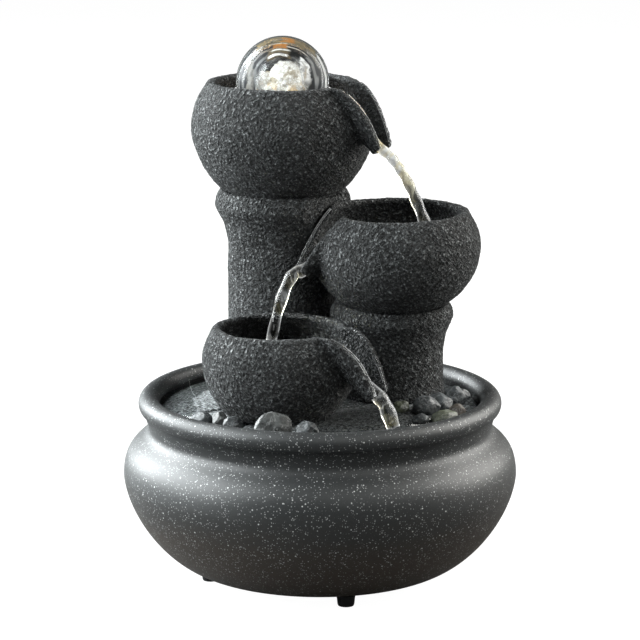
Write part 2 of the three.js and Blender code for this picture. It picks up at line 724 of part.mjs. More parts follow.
function makeSuctionCups() {
  const spreadX = pumpWidth / 2 - cupFootRadius - past;
  const backY = pumpFrontY - pumpLength + cupFootRadius + cupInset;
  const frontY = pumpFrontY - cupFootRadius - cupInset;
  let count = 0;
  [-1, 1].forEach((side) => {
    [backY, frontY].forEach((y) => {
      count += 1;
      const z = basinFloorZ + gap;
      const cup = rod(cupFootRadius, cupFootTop, z, z + cupFootHeight, tallX + side * spreadX, y, 20);
      piece(`suction_cup_${count}`, cup, blackRubber);
    });
  });
}

function makeRiser() {
  const low = pumpRoofZ + gap;
  const high = topFloorZ - stemTail / 2 - gap;
  piece('riser_tube', ring(riserBore, riserRadius, low, high, tallX, tallY, 24), clearPlastic);
}

// ---------------------------------------------------------------- leads and gland
/** A round lead through the given points. */
function lead(name, points) {
  const knots = points.map((p) => new THREE.Vector3(...p));
  const path = new THREE.CatmullRomCurve3(knots, false, 'catmullrom', 0.5);
  const section = new THREE.Shape();
  section.absarc(0, 0, leadRadius, 0, Math.PI * 2);
  const options = { steps: 30, extrudePath: path, curveSegments: 4, bevelEnabled: false };
  piece(name, solid(new THREE.ExtrudeGeometry(section, options)), blackRubber);
}

function makeGland() {
  const bush = rodAlongY(glandRadius, glandFaceY, glandFaceY + glandLength, 0, glandZ, 20);
  const flange = rodAlongY(glandFlange, glandFaceY - glandFlangeThickness, glandFaceY, 0, glandZ, 20);
  piece('cord_gland', bush.add(flange), blackRubber);
}

/** The pump's lead, round the riser tube to the gland's inner face. */
function makePumpLead(side, endY) {
  const startY = pumpFrontY - pumpLength + leadBend;
  lead('pump_lead', [
    [tallX, startY, pumpRoofZ + gap],
    [tallX, startY, pumpRoofZ + leadBend],
    [tallX + leadBend, startY + leadBend, pumpRoofZ + 2 * leadBend],
    [tallX + 3 * leadBend, tallY - leadBend, (pumpRoofZ + glandZ + leadBend) / 2],
    [side, endY - 3 * leadBend, glandZ],
    [side, endY, glandZ],
  ]);
}

/** The light's lead, down beside the riser tube to the gland's inner face. */
function makeLightLead(side, endY) {
  const boreX = tallX + riserRadius + leadRadius + boreClearance;
  const underDeckZ = deckTop - deckThickness - leadBend;
  lead('light_lead', [
    [leadX, tallY, topFloorZ + gap + lightWall],
    [leadX, tallY, topBottomZ - past],
    [boreX, tallY, topBottomZ - boreFlareDepth - past],
    [boreX, tallY, (tallTop + deckTop) / 2],
    [boreX, tallY, deckTop],
    [boreX, tallY + leadBend / 2, underDeckZ],
    [-side - leadBend / 2, endY - 3 * leadBend, glandZ + leadBend / 4],
    [-side, endY - leadBend, glandZ],
    [-side, endY, glandZ],
  ]);
}

// ---------------------------------------------------------------- pebbles
/** The deck's top at a distance from the basin's axis. */
function deckSurface(r) {
  const flat = deckRadius * deckFlatShare;
  const share = Math.max(0, (r - flat) / (deckRadius - flat));
  return deckTop - deckEdgeDrop * share ** 2;
}

/** A unit ball with its sides broken off flat, each stone its own way. */
function brokenBall(index) {
  let stone = solid(new THREE.SphereGeometry(1, 12, 8));
  for (let i = 0; i < pebbleBreaks; i += 1) {
    const heading = i * goldenAngle + index;
    const rise = 1 - (i + 0.5) / pebbleBreaks;
    const across = Math.sqrt(1 - rise ** 2);
    const reach = pebbleReach + pebbleUneven * Math.sin(5 * i + 3 * index);
    const inward = [-across * Math.cos(heading), -across * Math.sin(heading), -rise];
    stone = stone.trimByPlane(inward, -reach);
  }
  return stone;
}

/** A small broken stone, flat where it lies on the deck. */
function makePebble([x, y, length, width, height, turn, kind], index) {
  const base = deckSurface(Math.hypot(x, y)) + gap;
  const size = [length, width, height * (1 - pebbleSink)].map((half) => half / pebbleReach);
  const stone = brokenBall(index).scale(size).rotate([0, 0, turn]);
  const place = [x, y, base + height * pebbleSink];
  const seated = stone.translate(place).trimByPlane([0, 0, 1], base - pebbleFoot).subtract(deckPlate(gap));
  piece(`pebble_${String(index + 1).padStart(2, '0')}`, seated, finish(pebbleColours[kind], 0.5));
}

/** The three bowls; the top one is bored for the cup's stem and the light's lead. */
function makeBowls() {
  const stemHole = rod(stemRadius + gap, stemRadius + gap, 0, topFloorZ + past, tallX, tallY);
  const leadHole = rod(leadRadius + 2 * gap, leadRadius + 2 * gap, 0, topFloorZ + past, leadX, tallY, 12);
  const top = makeBowl(topBowl, topBottomZ, topFloorZ);
  piece('top_bowl', top.subtract(stemHole).subtract(leadHole), castStone);
  piece('middle_bowl', makeBowl(middleBowl, middleBottomZ, middleBottomZ + bowlWall), castStone);
  piece('lower_bowl', makeBowl(lowerBowl, lowerBottomZ, lowerBottomZ + bowlWall), castStone);
}

makeBasin();
makeFeet();
makeDeck();
makeTallPillar();
makeShortPillar();
makeBowls();
makeBall();
makeCup();
makeLight();
makePump();
makeImpeller();
makePumpFront();
makeKnob();
makeSuctionCups();
makeRiser();
makeGland();
const leadEndY = glandFaceY - glandFlangeThickness - gap;
const leadSide = leadRadius + gap;
makePumpLead(leadSide, leadEndY);
makeLightLead(leadSide, leadEndY);
pebbles.forEach(makePebble);

export default group;
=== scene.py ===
"""Looks of a tabletop water fountain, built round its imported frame.

Run as a script. The CAD nodes give the places and sizes; each operator finishes one group of like pieces.
Lengths are metres. X points right, -Y to the front, Z up.
"""

import json
import random
from math import asin, cos, pi, radians, sin, sqrt

import bmesh
import bpy
from bpy.props import FloatProperty, FloatVectorProperty, IntProperty, PointerProperty
from bpy.types import Operator, Panel, PropertyGroup
from mathutils import Matrix, Vector, kdtree


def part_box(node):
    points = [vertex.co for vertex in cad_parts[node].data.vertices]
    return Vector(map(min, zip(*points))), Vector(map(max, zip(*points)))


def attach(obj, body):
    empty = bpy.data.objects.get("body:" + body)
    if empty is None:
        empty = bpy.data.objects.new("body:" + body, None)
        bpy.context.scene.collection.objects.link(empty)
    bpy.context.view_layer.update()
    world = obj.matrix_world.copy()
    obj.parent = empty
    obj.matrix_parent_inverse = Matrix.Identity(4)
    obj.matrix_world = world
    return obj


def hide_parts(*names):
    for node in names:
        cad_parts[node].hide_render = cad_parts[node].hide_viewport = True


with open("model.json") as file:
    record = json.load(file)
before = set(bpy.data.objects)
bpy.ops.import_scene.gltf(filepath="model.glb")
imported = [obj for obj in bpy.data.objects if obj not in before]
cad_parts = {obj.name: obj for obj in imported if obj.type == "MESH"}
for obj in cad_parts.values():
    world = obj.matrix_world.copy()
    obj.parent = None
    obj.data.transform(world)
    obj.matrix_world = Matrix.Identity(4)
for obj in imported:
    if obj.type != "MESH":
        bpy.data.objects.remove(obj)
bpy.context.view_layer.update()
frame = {"nodes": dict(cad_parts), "record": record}

bl_info = {
    "name": "Tabletop Water Fountain",
    "version": (1, 0, 0),
    "blender": (4, 5, 0),
    "location": "View3D > Sidebar > Fountain",
    "description": "Finishes a cast stone-look water fountain piece by piece",
    "category": "Object",
}

MM = 0.001
SEAM = 0.3 * MM  # clearance between separate castings


# ---- settings
def colour(name, description, default):
    kind = {"subtype": "COLOR", "size": 3, "min": 0, "max": 1}
    return FloatVectorProperty(name=name, description=description, default=default, **kind)


def length(name, description, default):
    kind = {"subtype": "DISTANCE", "unit": "LENGTH"}
    return FloatProperty(name=name, description=description, default=default, **kind)


class FountainSettings(PropertyGroup):
    """Sizes and colours of the fountain's finish."""

    cast_voxel: length("Casting detail", "Size of the mesh cells of the rough castings", 0.8 * MM)
    grain_depth: length("Grain depth", "Height of the rough grain on the castings", 0.42 * MM)
    lump_depth: length("Lump depth", "Height of the slow unevenness of the castings", 1.1 * MM)
    stone_low: colour("Stone, ground", "Colour of the castings between their strokes", (0.031, 0.033, 0.0335))
    # the pale strokes' colour is partly the grain's own and partly painted highlight
    stone_high: colour("Stone, grain", "Colour of the castings' raised grain", (0.28, 0.294, 0.296))
    basin_dark: colour("Basin", "Ground colour of the basin", (0.017, 0.0185, 0.019))
    basin_warm: colour("Basin, lower", "Brownish tint low on the basin", (0.036, 0.023, 0.0135))
    basin_speck: colour("Basin, specks", "Colour of the basin's fine specks", (0.62, 0.63, 0.62))
    rubber: colour("Rubber", "Colour of the feet and the gland", (0.012, 0.012, 0.013))
    water_tint: colour("Water", "Tint of the water", (0.95, 0.975, 0.985))
    glass_tint: colour("Glass", "Tint of the ball", (0.99, 0.995, 1.0))
    seed: IntProperty(name="Seed", description="Seed of the foam's bubbles", default=7, min=0)


def settings():
    return bpy.context.scene.fountain


# ---- node helpers
def arithmetic(operation):
    """An operator of Value that adds a math node."""
    return lambda self, other: self.graph.math(operation, self, other)


class Value:
    """What a node's output carries; arithmetic on it adds math nodes to its graph."""

    def __init__(self, graph, socket):
        self.graph = graph
        self.socket = socket

    def __rsub__(self, other):
        return self.graph.math("SUBTRACT", other, self)

    __add__ = arithmetic("ADD")
    __sub__ = arithmetic("SUBTRACT")
    __mul__ = arithmetic("MULTIPLY")
    __truediv__ = arithmetic("DIVIDE")
    __pow__ = arithmetic("POWER")


class Graph:
    """Adds and links the nodes of one tree; place is the vector that its patterns lie on."""

    def __init__(self, tree):
        self.tree = tree
        self.place = None

    def feed(self, socket, value):
        """Links a value to a socket, or sets a constant on it; colours are given as three numbers."""
        if isinstance(value, Value):
            self.tree.links.new(value.socket, socket)
        elif socket.type == "RGBA":
            socket.default_value = (*value, 1)
        else:
            socket.default_value = value

    def fill(self, node, values):
        """Gives each value to the node's property of that name, or else to its input."""
        for key, value in values.items():
            if hasattr(node, key):
                setattr(node, key, value)
            else:
                self.feed(node.inputs[key.replace("_", " ")], value)
        return node

    def node(self, kind, **values):
        return self.fill(self.tree.nodes.new(kind), values)

    def outputs(self, kind, **values):
        """The outputs of a new node, by name."""
        return {output.name: Value(self, output) for output in self.node(kind, **values).outputs}

    def value(self, kind, output, **values):
        return self.outputs(kind, **values)[output]

    def math(self, operation, *terms):
        node = self.node("ShaderNodeMath", operation=operation)
        for socket, term in zip(node.inputs, terms):
            self.feed(socket, term)
        return Value(self, node.outputs[0])

    def ramp(self, source, low, high):
        """Maps a value from low..high to 0..1, with smooth ends."""
        ends = {"From_Min": low, "From_Max": high, "interpolation_type": "SMOOTHSTEP"}
        return self.value("ShaderNodeMapRange", "Result", Value=source, **ends)

    def mix(self, factor, first, second):
        """Mixes two colours."""
        node = self.node("ShaderNodeMix", data_type="RGBA")
        for socket, value in zip((node.inputs[0], node.inputs[6], node.inputs[7]), (factor, first, second)):
            self.feed(socket, value)
        return Value(self, node.outputs[2])

    def noise(self, scale, detail=2.0, roughness=0.5, distortion=0.0, place=None):
        form = {"Scale": scale, "Detail": detail, "Roughness": roughness, "Distortion": distortion}
        return self.value("ShaderNodeTexNoise", "Fac", Vector=place or self.place, **form)

    def axis(self, letter):
        return self.value("ShaderNodeSeparateXYZ", letter, Vector=self.place)

    def grazing(self, power=1.0):
        """One where the surface is seen edge on, nothing where it is seen square on."""
        return self.value("ShaderNodeLayerWeight", "Facing", Blend=0.5) ** power

    def group(self, name, **values):
        """Places a shared node group; returns its outputs by name."""
        return self.outputs("ShaderNodeGroup", node_tree=shared_group(name), Vector=self.place, **values)


class Finish(Graph):
    """The graph of one new material, with its Principled shader and the object's own coordinates."""

    def __init__(self, label):
        self.material = bpy.data.materials.new(label)
        self.material.use_nodes = True
        super().__init__(self.material.node_tree)
        self.shader = self.tree.nodes["Principled BSDF"]
        self.place = self.value("ShaderNodeTexCoord", "Object")

    def shade(self, **values):
        self.fill(self.shader, values)

    def bump(self, height, distance, strength=1.0):
        form = {"Height": height, "Distance": distance, "Strength": strength}
        self.shade(Normal=self.value("ShaderNodeBump", "Normal", **form))


def finish(build):
    """Turns a finish's recipe into a function of a name that makes the material on first use."""
    def made(name, *values):
        label = name + "_finish"
        if label not in bpy.data.materials:
            build(Finish(label), *values)
        return bpy.data.materials[label]
    return made


def chiselled_grain(graph, given):
    """Short raised strokes in two directions over sand grain, as on a cast stone skin."""
    scale, strokes = given["Stroke Scale"], []
    for heading in (135, -45):
        turn = (radians(50), 0, radians(heading))
        lay = {"vector_type": "TEXTURE", "Vector": graph.place, "Rotation": turn, "Scale": (1, 1, 2.6)}
        strokes.append(graph.noise(scale, 1.5, 0.5, 0.25, graph.value("ShaderNodeMapping", "Vector", **lay)))
    raised = graph.ramp(graph.math("MAXIMUM", *strokes), 0.52, 0.66)
    pit = graph.ramp(graph.math("MINIMUM", *strokes), 0.45, 0.37)
    sand = graph.noise(given["Sand Scale"], 2.0, 0.6)
    fleck = graph.ramp(graph.noise(scale * 1.25, 2.0, 0.5, 0.4), 0.5, 0.62)
    return {
        "Height": raised * 0.8 + sand * 0.5 - pit * 0.55,
        # mask of the pale strokes: partly grain, partly painted highlight
        "High": fleck * (raised * 0.7 + 0.3),
        "Pit": pit,
        "Drift": graph.noise(given["Drift Scale"], 3.0, 0.55),
    }


def speckle(graph, given):
    """Fine specks scattered through a lacquer: a share of cells holds a round speck."""
    cells = graph.outputs("ShaderNodeTexVoronoi", Vector=given["Vector"], Scale=given["Scale"])
    chance = graph.outputs("ShaderNodeSeparateColor", Color=cells["Color"])
    chosen = graph.math("LESS_THAN", chance["Red"], given["Share"])
    reach = chance["Green"] * given["Size"]
    return {"Mask": chosen * graph.ramp(cells["Distance"], reach, reach * 0.55)}


GROUPS = {  # recipe of each shared node group, and the numbers it takes beside a vector
    "Chiselled grain": (chiselled_grain, {"Stroke Scale": 660.0, "Sand Scale": 1200.0, "Drift Scale": 45.0}),
    "Speckle": (speckle, {"Scale": 560.0, "Size": 0.3, "Share": 0.3}),
}


def shared_group(name):
    """The shader node group of this name, made from its recipe on first use."""
    if name in bpy.data.node_groups:
        return bpy.data.node_groups[name]
    recipe, numbers = GROUPS[name]
    tree = bpy.data.node_groups.new(name, "ShaderNodeTree")
    tree.interface.new_socket("Vector", in_out="INPUT", socket_type="NodeSocketVector")
    for label, default in numbers.items():
        socket = tree.interface.new_socket(label, in_out="INPUT", socket_type="NodeSocketFloat")
        socket.default_value = default
    graph = Graph(tree)
    given = graph.outputs("NodeGroupInput")
    graph.place = given["Vector"]
    results = recipe(graph, given)
    for label in results:
        tree.interface.new_socket(label, in_out="OUTPUT", socket_type="NodeSocketFloat")
    graph.node("NodeGroupOutput", **results)
    return tree


# ---- materials
def scaled(tone, share):
    return tuple(min(1, c * share) for c in tone)


@finish
def cast_stone(look, painted_brightening=1.0, relief=1.0):
    """Dark cast stone. Its pale chisel strokes are partly the stone's grain and partly painted highlight, its
    pits get painted shade, and the first number after the name lightens the whole stone as painted light; wet
    stone is darker and shines more.
    """
    grain = look.group("Chiselled grain")
    # painted light: both tones are lightened by the first number
    low, high = scaled(settings().stone_low, painted_brightening), scaled(settings().stone_high, painted_brightening ** 0.5)
    soak = look.value("ShaderNodeAttribute", "Fac", attribute_name="wet")
    wet = look.ramp(soak + grain["Drift"] * 0.3, 0.25, 0.75)
    stone = look.mix(look.ramp(grain["Drift"], 0.35, 0.7), low, scaled(low, 1.5))
    # pale strokes: partly grain colour, partly painted highlight where the relief would catch the light
    stone = look.mix(grain["High"] * (1.0 - wet * 0.7), stone, high)
    # painted shade: the pits are darkened almost to black
    stone = look.mix(grain["Pit"] * 0.9, stone, scaled(low, 0.08))
    soaked_tone = (0.003, 0.0035, 0.0035)
    look.shade(Base_Color=look.mix(wet * 0.6, stone, soaked_tone))
    look.shade(Roughness=0.8 - grain["High"] * 0.35 - wet * 0.55)
    look.bump(grain["Height"], 5.0 * MM, relief)


@finish
def basin_lacquer(look):
    """Dark lacquer with pale specks that turns brownish low down."""
    dark = settings().basin_dark
    banded = look.value("ShaderNodeMapping", "Vector", Vector=look.place, Scale=(9, 9, 70))
    height = look.axis("Z")
    low = look.ramp(height + look.noise(1.0, 3.0, 0.6, place=banded) * 0.03, 0.08, 0.035)
    ground = look.mix(low, dark, settings().basin_warm)
    mottle = look.ramp(look.noise(1000.0, 2.0, 0.6), 0.5, 0.72)
    ground = look.mix(mottle * 0.35, ground, scaled(dark, 2.2))
    fine = look.group("Speckle", Scale=1100.0, Size=0.48, Share=0.6)["Mask"]
    coarse = look.group("Speckle", Scale=640.0, Size=0.34, Share=0.32)["Mask"]
    specks = look.math("MAXIMUM", fine * 0.5, coarse)
    look.shade(Base_Color=look.mix(specks, ground, settings().basin_speck))
    look.shade(Roughness=look.noise(900.0, 3.0, 0.6) * 0.18 + 0.42)
    look.shade(Coat_Weight=0.3, Coat_Roughness=0.45)
    look.bump(look.noise(700.0, 3.0, 0.6), 0.05 * MM, 0.5)


@finish
def moulded(look, tone, roughness=0.45, grain=900.0, depth=0.04 * MM):
    """Moulded plastic or rubber with a fine surface texture."""
    drift = look.noise(60.0, 3.0, 0.6)
    look.shade(Base_Color=look.mix(drift, scaled(tone, 0.8), scaled(tone, 1.2)))
    look.shade(Roughness=look.noise(200.0) * 0.12 + (roughness - 0.06))
    look.bump(look.noise(grain), depth, 0.5)


@finish
def clear(look, tint, ior, roughness=0.0, ripple=0.0):
    """Glass, clear plastic or still water."""
    look.shade(Base_Color=tint, Roughness=roughness, IOR=ior, Transmission_Weight=1.0)
    if ripple:
        look.bump(look.noise(160.0, 2.0, 0.5, 0.6), ripple, 0.6)


def ball_glass():
    return clear("ball_glass", settings().glass_tint, 1.5)


def water():
    return clear("water", settings().water_tint, 1.33, 0.01, 0.5 * MM)


@finish
def painted_ring_film(look, shade):
    """A thin sheet in the glass that glows where it is seen edge on, painting rings of reflected light, with
    a painted amber glow of the lamp at the top.
    """
    crown = centre_of("glass_ball").z + 9.5 * MM
    height = look.axis("Z")
    move = look.node("ShaderNodeVectorMath")
    look.feed(move.inputs[0], look.place)
    look.feed(move.inputs[1], look.value("ShaderNodeObjectInfo", "Random"))
    look.place = Value(look, move.outputs[0])
    # painted amber glow of the lamp at the top of the ball
    amber = look.ramp(height, crown, crown + 3 * MM)
    amber = amber * look.ramp(look.noise(60.0, 2.0, 0.5, 1.0), 0.48, 0.58)
    grey = look.ramp(look.noise(90.0, 2.0, 0.5, 1.0), 0.42, 0.58)
    tone = look.mix(grey, (0.02, 0.022, 0.024), (shade, shade * 1.04, shade * 1.06))
    tone = look.mix(amber, tone, (0.34, 0.19, 0.075))
    broken = look.ramp(look.noise(75.0, 2.0, 0.5, 0.8), 0.35, 0.6)
    # painted rings where the sheet is seen edge on
    edge = look.grazing(1.5) * (broken + 0.55)
    # the sheet glows: painted light
    look.shade(Base_Color=tone, Emission_Color=tone, Emission_Strength=0.3, Roughness=0.25)
    look.shade(Alpha=look.math("MINIMUM", edge, 0.9))


SKIN_WINDOW = ((0.41, 0.56), (-19, -6), 6)  # the bright patch where the skin is clear
PAINTED_SKIN_MARKS = (
    # painted reflections and shade on the ball's skin, each: ring from 0 in the middle to 1 at the outline,
    # from and to across (mm), least height (mm), tone, cover
    ((0.44, 0.74), (-14, 18), 8, (0.15, 0.125, 0.075), 0.85),  # tan
    ((0.15, 0.36), (-8, 5), 8, (0.12, 0.095, 0.06), 0.85),
    ((0.2, 0.42), (3.5, 12), 8, (0.014, 0.015, 0.015), 0.92),  # dark
    ((0.5, 0.7), (-0.6, 6.4), 12, (0.3, 0.13, 0.035), 0.8),  # amber
    ((0.34, 0.44), (-5.6, 3), 12, (0.34, 0.145, 0.04), 0.9),
    ((0.45, 0.465), (-7, 3), 12, (0.42, 0.4, 0.34), 0.8),  # bright arcs
    ((0.37, 0.385), (3, 13), 8, (0.5, 0.47, 0.42), 0.8),
    ((0.29, 0.31), (-5, 4.4), 8, (0.62, 0.62, 0.58), 0.9),
    ((0.18, 0.208), (-6.8, 3), 6, (0.85, 0.85, 0.84), 1.0),
    ((0.58, 0.68), (19, 25), -12, (0.6, 0.61, 0.6), 0.8),  # pale and dark sides
    ((0.44, 0.54), (12, 20), -2, (0.06, 0.06, 0.055), 0.7),
    ((0.22, 0.5), (-19, -15.5), -12, (0.3, 0.29, 0.26), 0.6),
    ((0.1, 0.26), (9.5, 15), 3, (0.8, 0.81, 0.8), 0.92),  # froth
    ((0.12, 0.2), (11.5, 13), 4, (0.3, 0.24, 0.15), 0.8),
)


@finish
def wet_skin(look):
    """A glowing skin over the near side of the ball with painted reflections (rings, bright arcs, tan and
    amber) and a painted dark outline.
    """
    heart = centre_of("glass_ball")
    drift = look.noise(70.0, 2.0, 0.5, 0.5)
    fine = look.noise(260.0, 2.0, 0.6, 0.6)
    side = look.grazing() + (drift - 0.5) * 0.09
    across = (look.axis("X") - heart.x) / MM + (fine - 0.5) * 5.0
    up = (look.axis("Z") - heart.z) / MM

    def zone(ring, spread, least):
        """One in a ring round the middle, between these places across and above a height."""
        inside = look.ramp(side, ring[0] - 0.012, ring[0]) * look.ramp(side, ring[1] + 0.012, ring[1])
        inside = inside * look.ramp(across, spread[0] - 0.8, spread[0] + 0.8)
        inside = inside * look.ramp(across, spread[1] + 0.8, spread[1] - 0.8)
        return inside * look.ramp(up, least - 2, least + 2)

    # painted rings of reflected light round the middle of the ball
    rings = look.ramp(look.math("SINE", side * 46.0 + drift * 9.0), -0.4, 0.8)
    tone = look.mix(rings, (0.03, 0.032, 0.034), (0.13, 0.135, 0.135))
    cover = look.ramp(side, 0.08, 0.2) * (0.96 - rings * 0.24)
    cover = cover * (1.0 - zone(*SKIN_WINDOW))
    streak = look.ramp(fine, 0.3, 0.55) * 0.55 + 0.45
    for ring, spread, least, shade, hide in PAINTED_SKIN_MARKS:
        mark = zone(ring, spread, least) * (streak * hide)
        tone = look.mix(mark, tone, shade)
        cover = look.math("MAXIMUM", cover, mark)
    # painted dark outline at the ball's rim
    outline = look.ramp(look.grazing(), 0.7, 0.82)
    tone = look.mix(outline, tone, (0.05, 0.052, 0.05))
    cover = look.math("MAXIMUM", cover, outline * 0.75)
    far = look.value("ShaderNodeNewGeometry", "Backfacing")
    # the skin glows: its tones are painted light
    look.shade(Base_Color=tone, Emission_Color=tone, Emission_Strength=0.25, Alpha=cover * (1.0 - far))
    look.shade(Specular_IOR_Level=0.03, Roughness=0.2)


@finish
def lit_lens(look):
    """The lamp's lens, glowing warm white."""
    spots = look.ramp(look.noise(180.0, 1.0), 0.4, 0.65)
    glow = look.mix(spots, (1.0, 0.62, 0.3), (1.0, 0.9, 0.75))
    look.shade(Base_Color=(0.85, 0.86, 0.86), Roughness=0.3, Emission_Color=glow, Emission_Strength=4.0)


@finish
def running_water(look, haze=1.0):
    """Water in motion: clear, glowing as painted light, with painted highlights at its edges, bright strands
    of air and, in the first fall, a warm haze.
    """
    height = look.axis("Z")
    drawn = look.value("ShaderNodeMapping", "Vector", Vector=look.place, Scale=(1, 1, 0.16))
    strand = look.noise(620.0, 2.0, 0.5, 0.5, drawn)
    cloud = look.noise(120.0)
    # painted highlight where the water is seen edge on
    edge = look.grazing(2.2) * look.ramp(look.noise(260.0), 0.25, 0.5)
    # painted warm glow in the first fall
    fall = look.ramp(height, 0.2, 0.225) * look.ramp(height, 0.236, 0.23) * haze
    light = look.math("MINIMUM", edge + look.ramp(strand, 0.56, 0.7) * 0.15 + fall * 0.2, 1.0)
    bright = look.mix(fall * look.ramp(cloud, 0.42, 0.58), (0.86, 0.88, 0.88), (0.86, 0.74, 0.42))
    tint = look.mix(look.ramp(cloud, 0.44, 0.6) * haze, (0.96, 0.98, 0.96), (0.9, 0.78, 0.44))
    look.shade(Base_Color=tint, Roughness=0.02, IOR=1.33, Transmission_Weight=1.0)
    # the water glows: painted highlight and painted light
    look.shade(Emission_Color=look.mix(light, (0, 0, 0), bright), Emission_Strength=1.0)
    look.bump(strand, 0.14 * MM, 0.4)


@finish
def foam(look):
    """White foam with darker patches at random, painted shade in the seams between its bubbles and a painted
    amber glow of the lamp at its foot; it glows all over as painted light.
    """
    height = look.axis("Z")
    foot = look.ramp(height, 0.262, 0.255)
    # painted amber glow of the lamp below, at the foot of the foam
    warm = foot * look.ramp(look.noise(320.0), 0.5, 0.62)
    dark_patches = look.ramp(look.noise(300.0, 3.0, 0.6), 0.52, 0.66)
    cells = {"feature": "DISTANCE_TO_EDGE", "Vector": look.place, "Scale": 620.0}
    # painted shade in the seams between bubbles
    seam = look.ramp(look.value("ShaderNodeTexVoronoi", "Distance", **cells), 0.16, 0.02)
    dim = look.math("MAXIMUM", seam * 0.6, dark_patches) * 0.8
    tone = look.mix(dim, (0.88, 0.88, 0.84), (0.3, 0.24, 0.13))
    tone = look.mix(warm, tone, (0.72, 0.46, 0.14))
    # the foam glows: painted light in place of light that does not reach through the glass
    look.shade(Base_Color=tone, Emission_Color=tone, Emission_Strength=0.24, Roughness=0.12, IOR=1.33)


@finish
def broken_stone(look, tone):
    """A wet broken stone: dark cloudy body, pale veins, and pale crests that are painted highlight along its
    sharp edges.
    """
    cloud = look.noise(170.0, 4.0, 0.6, 0.4)
    vein = look.math("ABSOLUTE", look.noise(110.0, 3.0, 0.6, 1.4) - 0.5)
    # painted highlight along the stone's sharp edges
    crest = look.ramp(look.value("ShaderNodeNewGeometry", "Pointiness"), 0.515, 0.565)
    crest = crest * look.ramp(look.noise(400.0), 0.4, 0.55)
    body = look.mix(look.ramp(cloud, 0.35, 0.7), scaled(tone, 0.4), scaled(tone, 2.0))
    pale = tuple(min(1, c * 1.8 + 0.16) for c in tone)
    streak = look.ramp(vein, 0.03, 0.0) * 0.7
    look.shade(Base_Color=look.mix(look.math("MAXIMUM", streak, crest), body, pale))
    look.shade(Roughness=cloud * 0.3 + 0.3, Coat_Weight=0.15, Coat_Roughness=0.15)
    look.bump(look.noise(380.0, 4.0, 0.65), 0.9 * MM, 1.0)


# ---- mesh helpers
def dressed(item, material):
    """Gives an object one material."""
    item.data.materials.clear()
    item.data.materials.append(material)
    return item


def add_object(name, mesh, material=None):
    item = bpy.data.objects.new(name, mesh)
    bpy.context.scene.collection.objects.link(item)
    return dressed(item, material) if material else item


def shade_smooth(mesh, smooth=True):
    mesh.polygons.foreach_set("use_smooth", [smooth] * len(mesh.polygons))
    return mesh


def mesh_of(name, bm):
    """The mesh of a bmesh, which is then thrown away."""
    mesh = bpy.data.meshes.new(name)
    bm.to_mesh(mesh)
    bm.free()
    return mesh


def mesh_from(name, points, faces, smooth=True):
    mesh = bpy.data.meshes.new(name)
    mesh.from_pydata([tuple(p) for p in points], [], faces)
    mesh.update()
    bm = bmesh.new()
    bm.from_mesh(mesh)
    bmesh.ops.remove_doubles(bm, verts=bm.verts, dist=1e-7)
    bmesh.ops.recalc_face_normals(bm, faces=bm.faces)
    bm.to_mesh(mesh)
    bm.free()
    return shade_smooth(mesh, smooth)


ON_AXIS = 1e-9  # radius under which a point lies on the axis


def lathe_mesh(name, profile, segments, centre=(0, 0), axis="Z"):
    """Revolves a closed outline of (radius, height) points; points on the axis close the ends."""
    points, faces = [], []
    count = len(profile)
    for i in range(segments):
        a = 2 * pi * i / segments
        for radius, height in profile:
            first, second = centre[0] + radius * cos(a), centre[1] + radius * sin(a)
            points.append((first, second, height) if axis == "Z" else (first, height, second))
    for i in range(segments):
        j = (i + 1) % segments
        for k in range(count):
            n = (k + 1) % count
            face = [i * count + k, j * count + k, j * count + n, i * count + n]
            if profile[n][0] < ON_AXIS:
                face.pop(2)
            if profile[k][0] < ON_AXIS:
                face.pop(1)
            if len(face) > 2:
                faces.append(face)
    return mesh_from(name, points, faces)


def ellipse_arc(radius, height, z, start, end, steps):
    """Points (r, z) of an ellipse about (0, z) from angle start to end; angle 0 is the side."""
    turns = [start + (end - start) * i / steps for i in range(steps + 1)]
    return [(radius * cos(a), z + height * sin(a)) for a in turns]


def baked(item):
    """Replaces an object's mesh by its modified one and clears the modifiers."""
    graph = bpy.context.evaluated_depsgraph_get()
    mesh = bpy.data.meshes.new_from_object(item.evaluated_get(graph))
    item.modifiers.clear()
    item.data = mesh
    return item


def modify(item, kind, **values):
    modifier = item.modifiers.new(kind.lower(), kind)
    for key, value in values.items():
        setattr(modifier, key, value)


def cut(item, other, operation="DIFFERENCE"):
    """Joins or cuts one object by another, which is then thrown away."""
    modify(item, "BOOLEAN", operation=operation, solver="EXACT", object=other)
    baked(item)
    bpy.data.objects.remove(other)
    return item


def softened(item, voxel, rounds, layers=()):
    """Turns a crisp solid into even cells with soft edges, raised by layers of noise."""
    modify(item, "REMESH", mode="VOXEL", voxel_size=voxel)
    modify(item, "SMOOTH", iterations=rounds)
    for label, kind, scale, depth, middle in layers:
        texture = bpy.data.textures.get(label) or bpy.data.textures.new(label, "CLOUDS")
        texture.noise_scale, texture.noise_depth, texture.noise_type = scale, 1, kind
        modify(item, "DISPLACE", texture=texture, texture_coords="LOCAL", strength=depth, mid_level=middle)
    shade_smooth(baked(item).data)
    return item


def finish_piece(item, body, slot, *nodes):
    """Names the body a piece rides on and the CAD nodes it stands for; the material slot is not used."""
    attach(item, body)
    if nodes:
        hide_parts(*nodes)


def add_piece(name, mesh, material, body, slot, *nodes):
    finish_piece(add_object(name, mesh, material), body, slot, *nodes)


def centre_of(node):
    low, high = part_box(node)
    return (low + high) / 2


# ---- bowls
BOWL_WALL = 4.4 * MM
SPOUT_WALL = 3.2 * MM
SINK = 0.5 * MM  # how far water reaches into the walls that hold it
SETTLE = 0.4 * MM  # and into their floors
SOAK_REACH = 11 * MM
FLOORS = {"top_bowl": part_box("light_housing")[0].z - SEAM}  # other floors lie a wall over the bottom


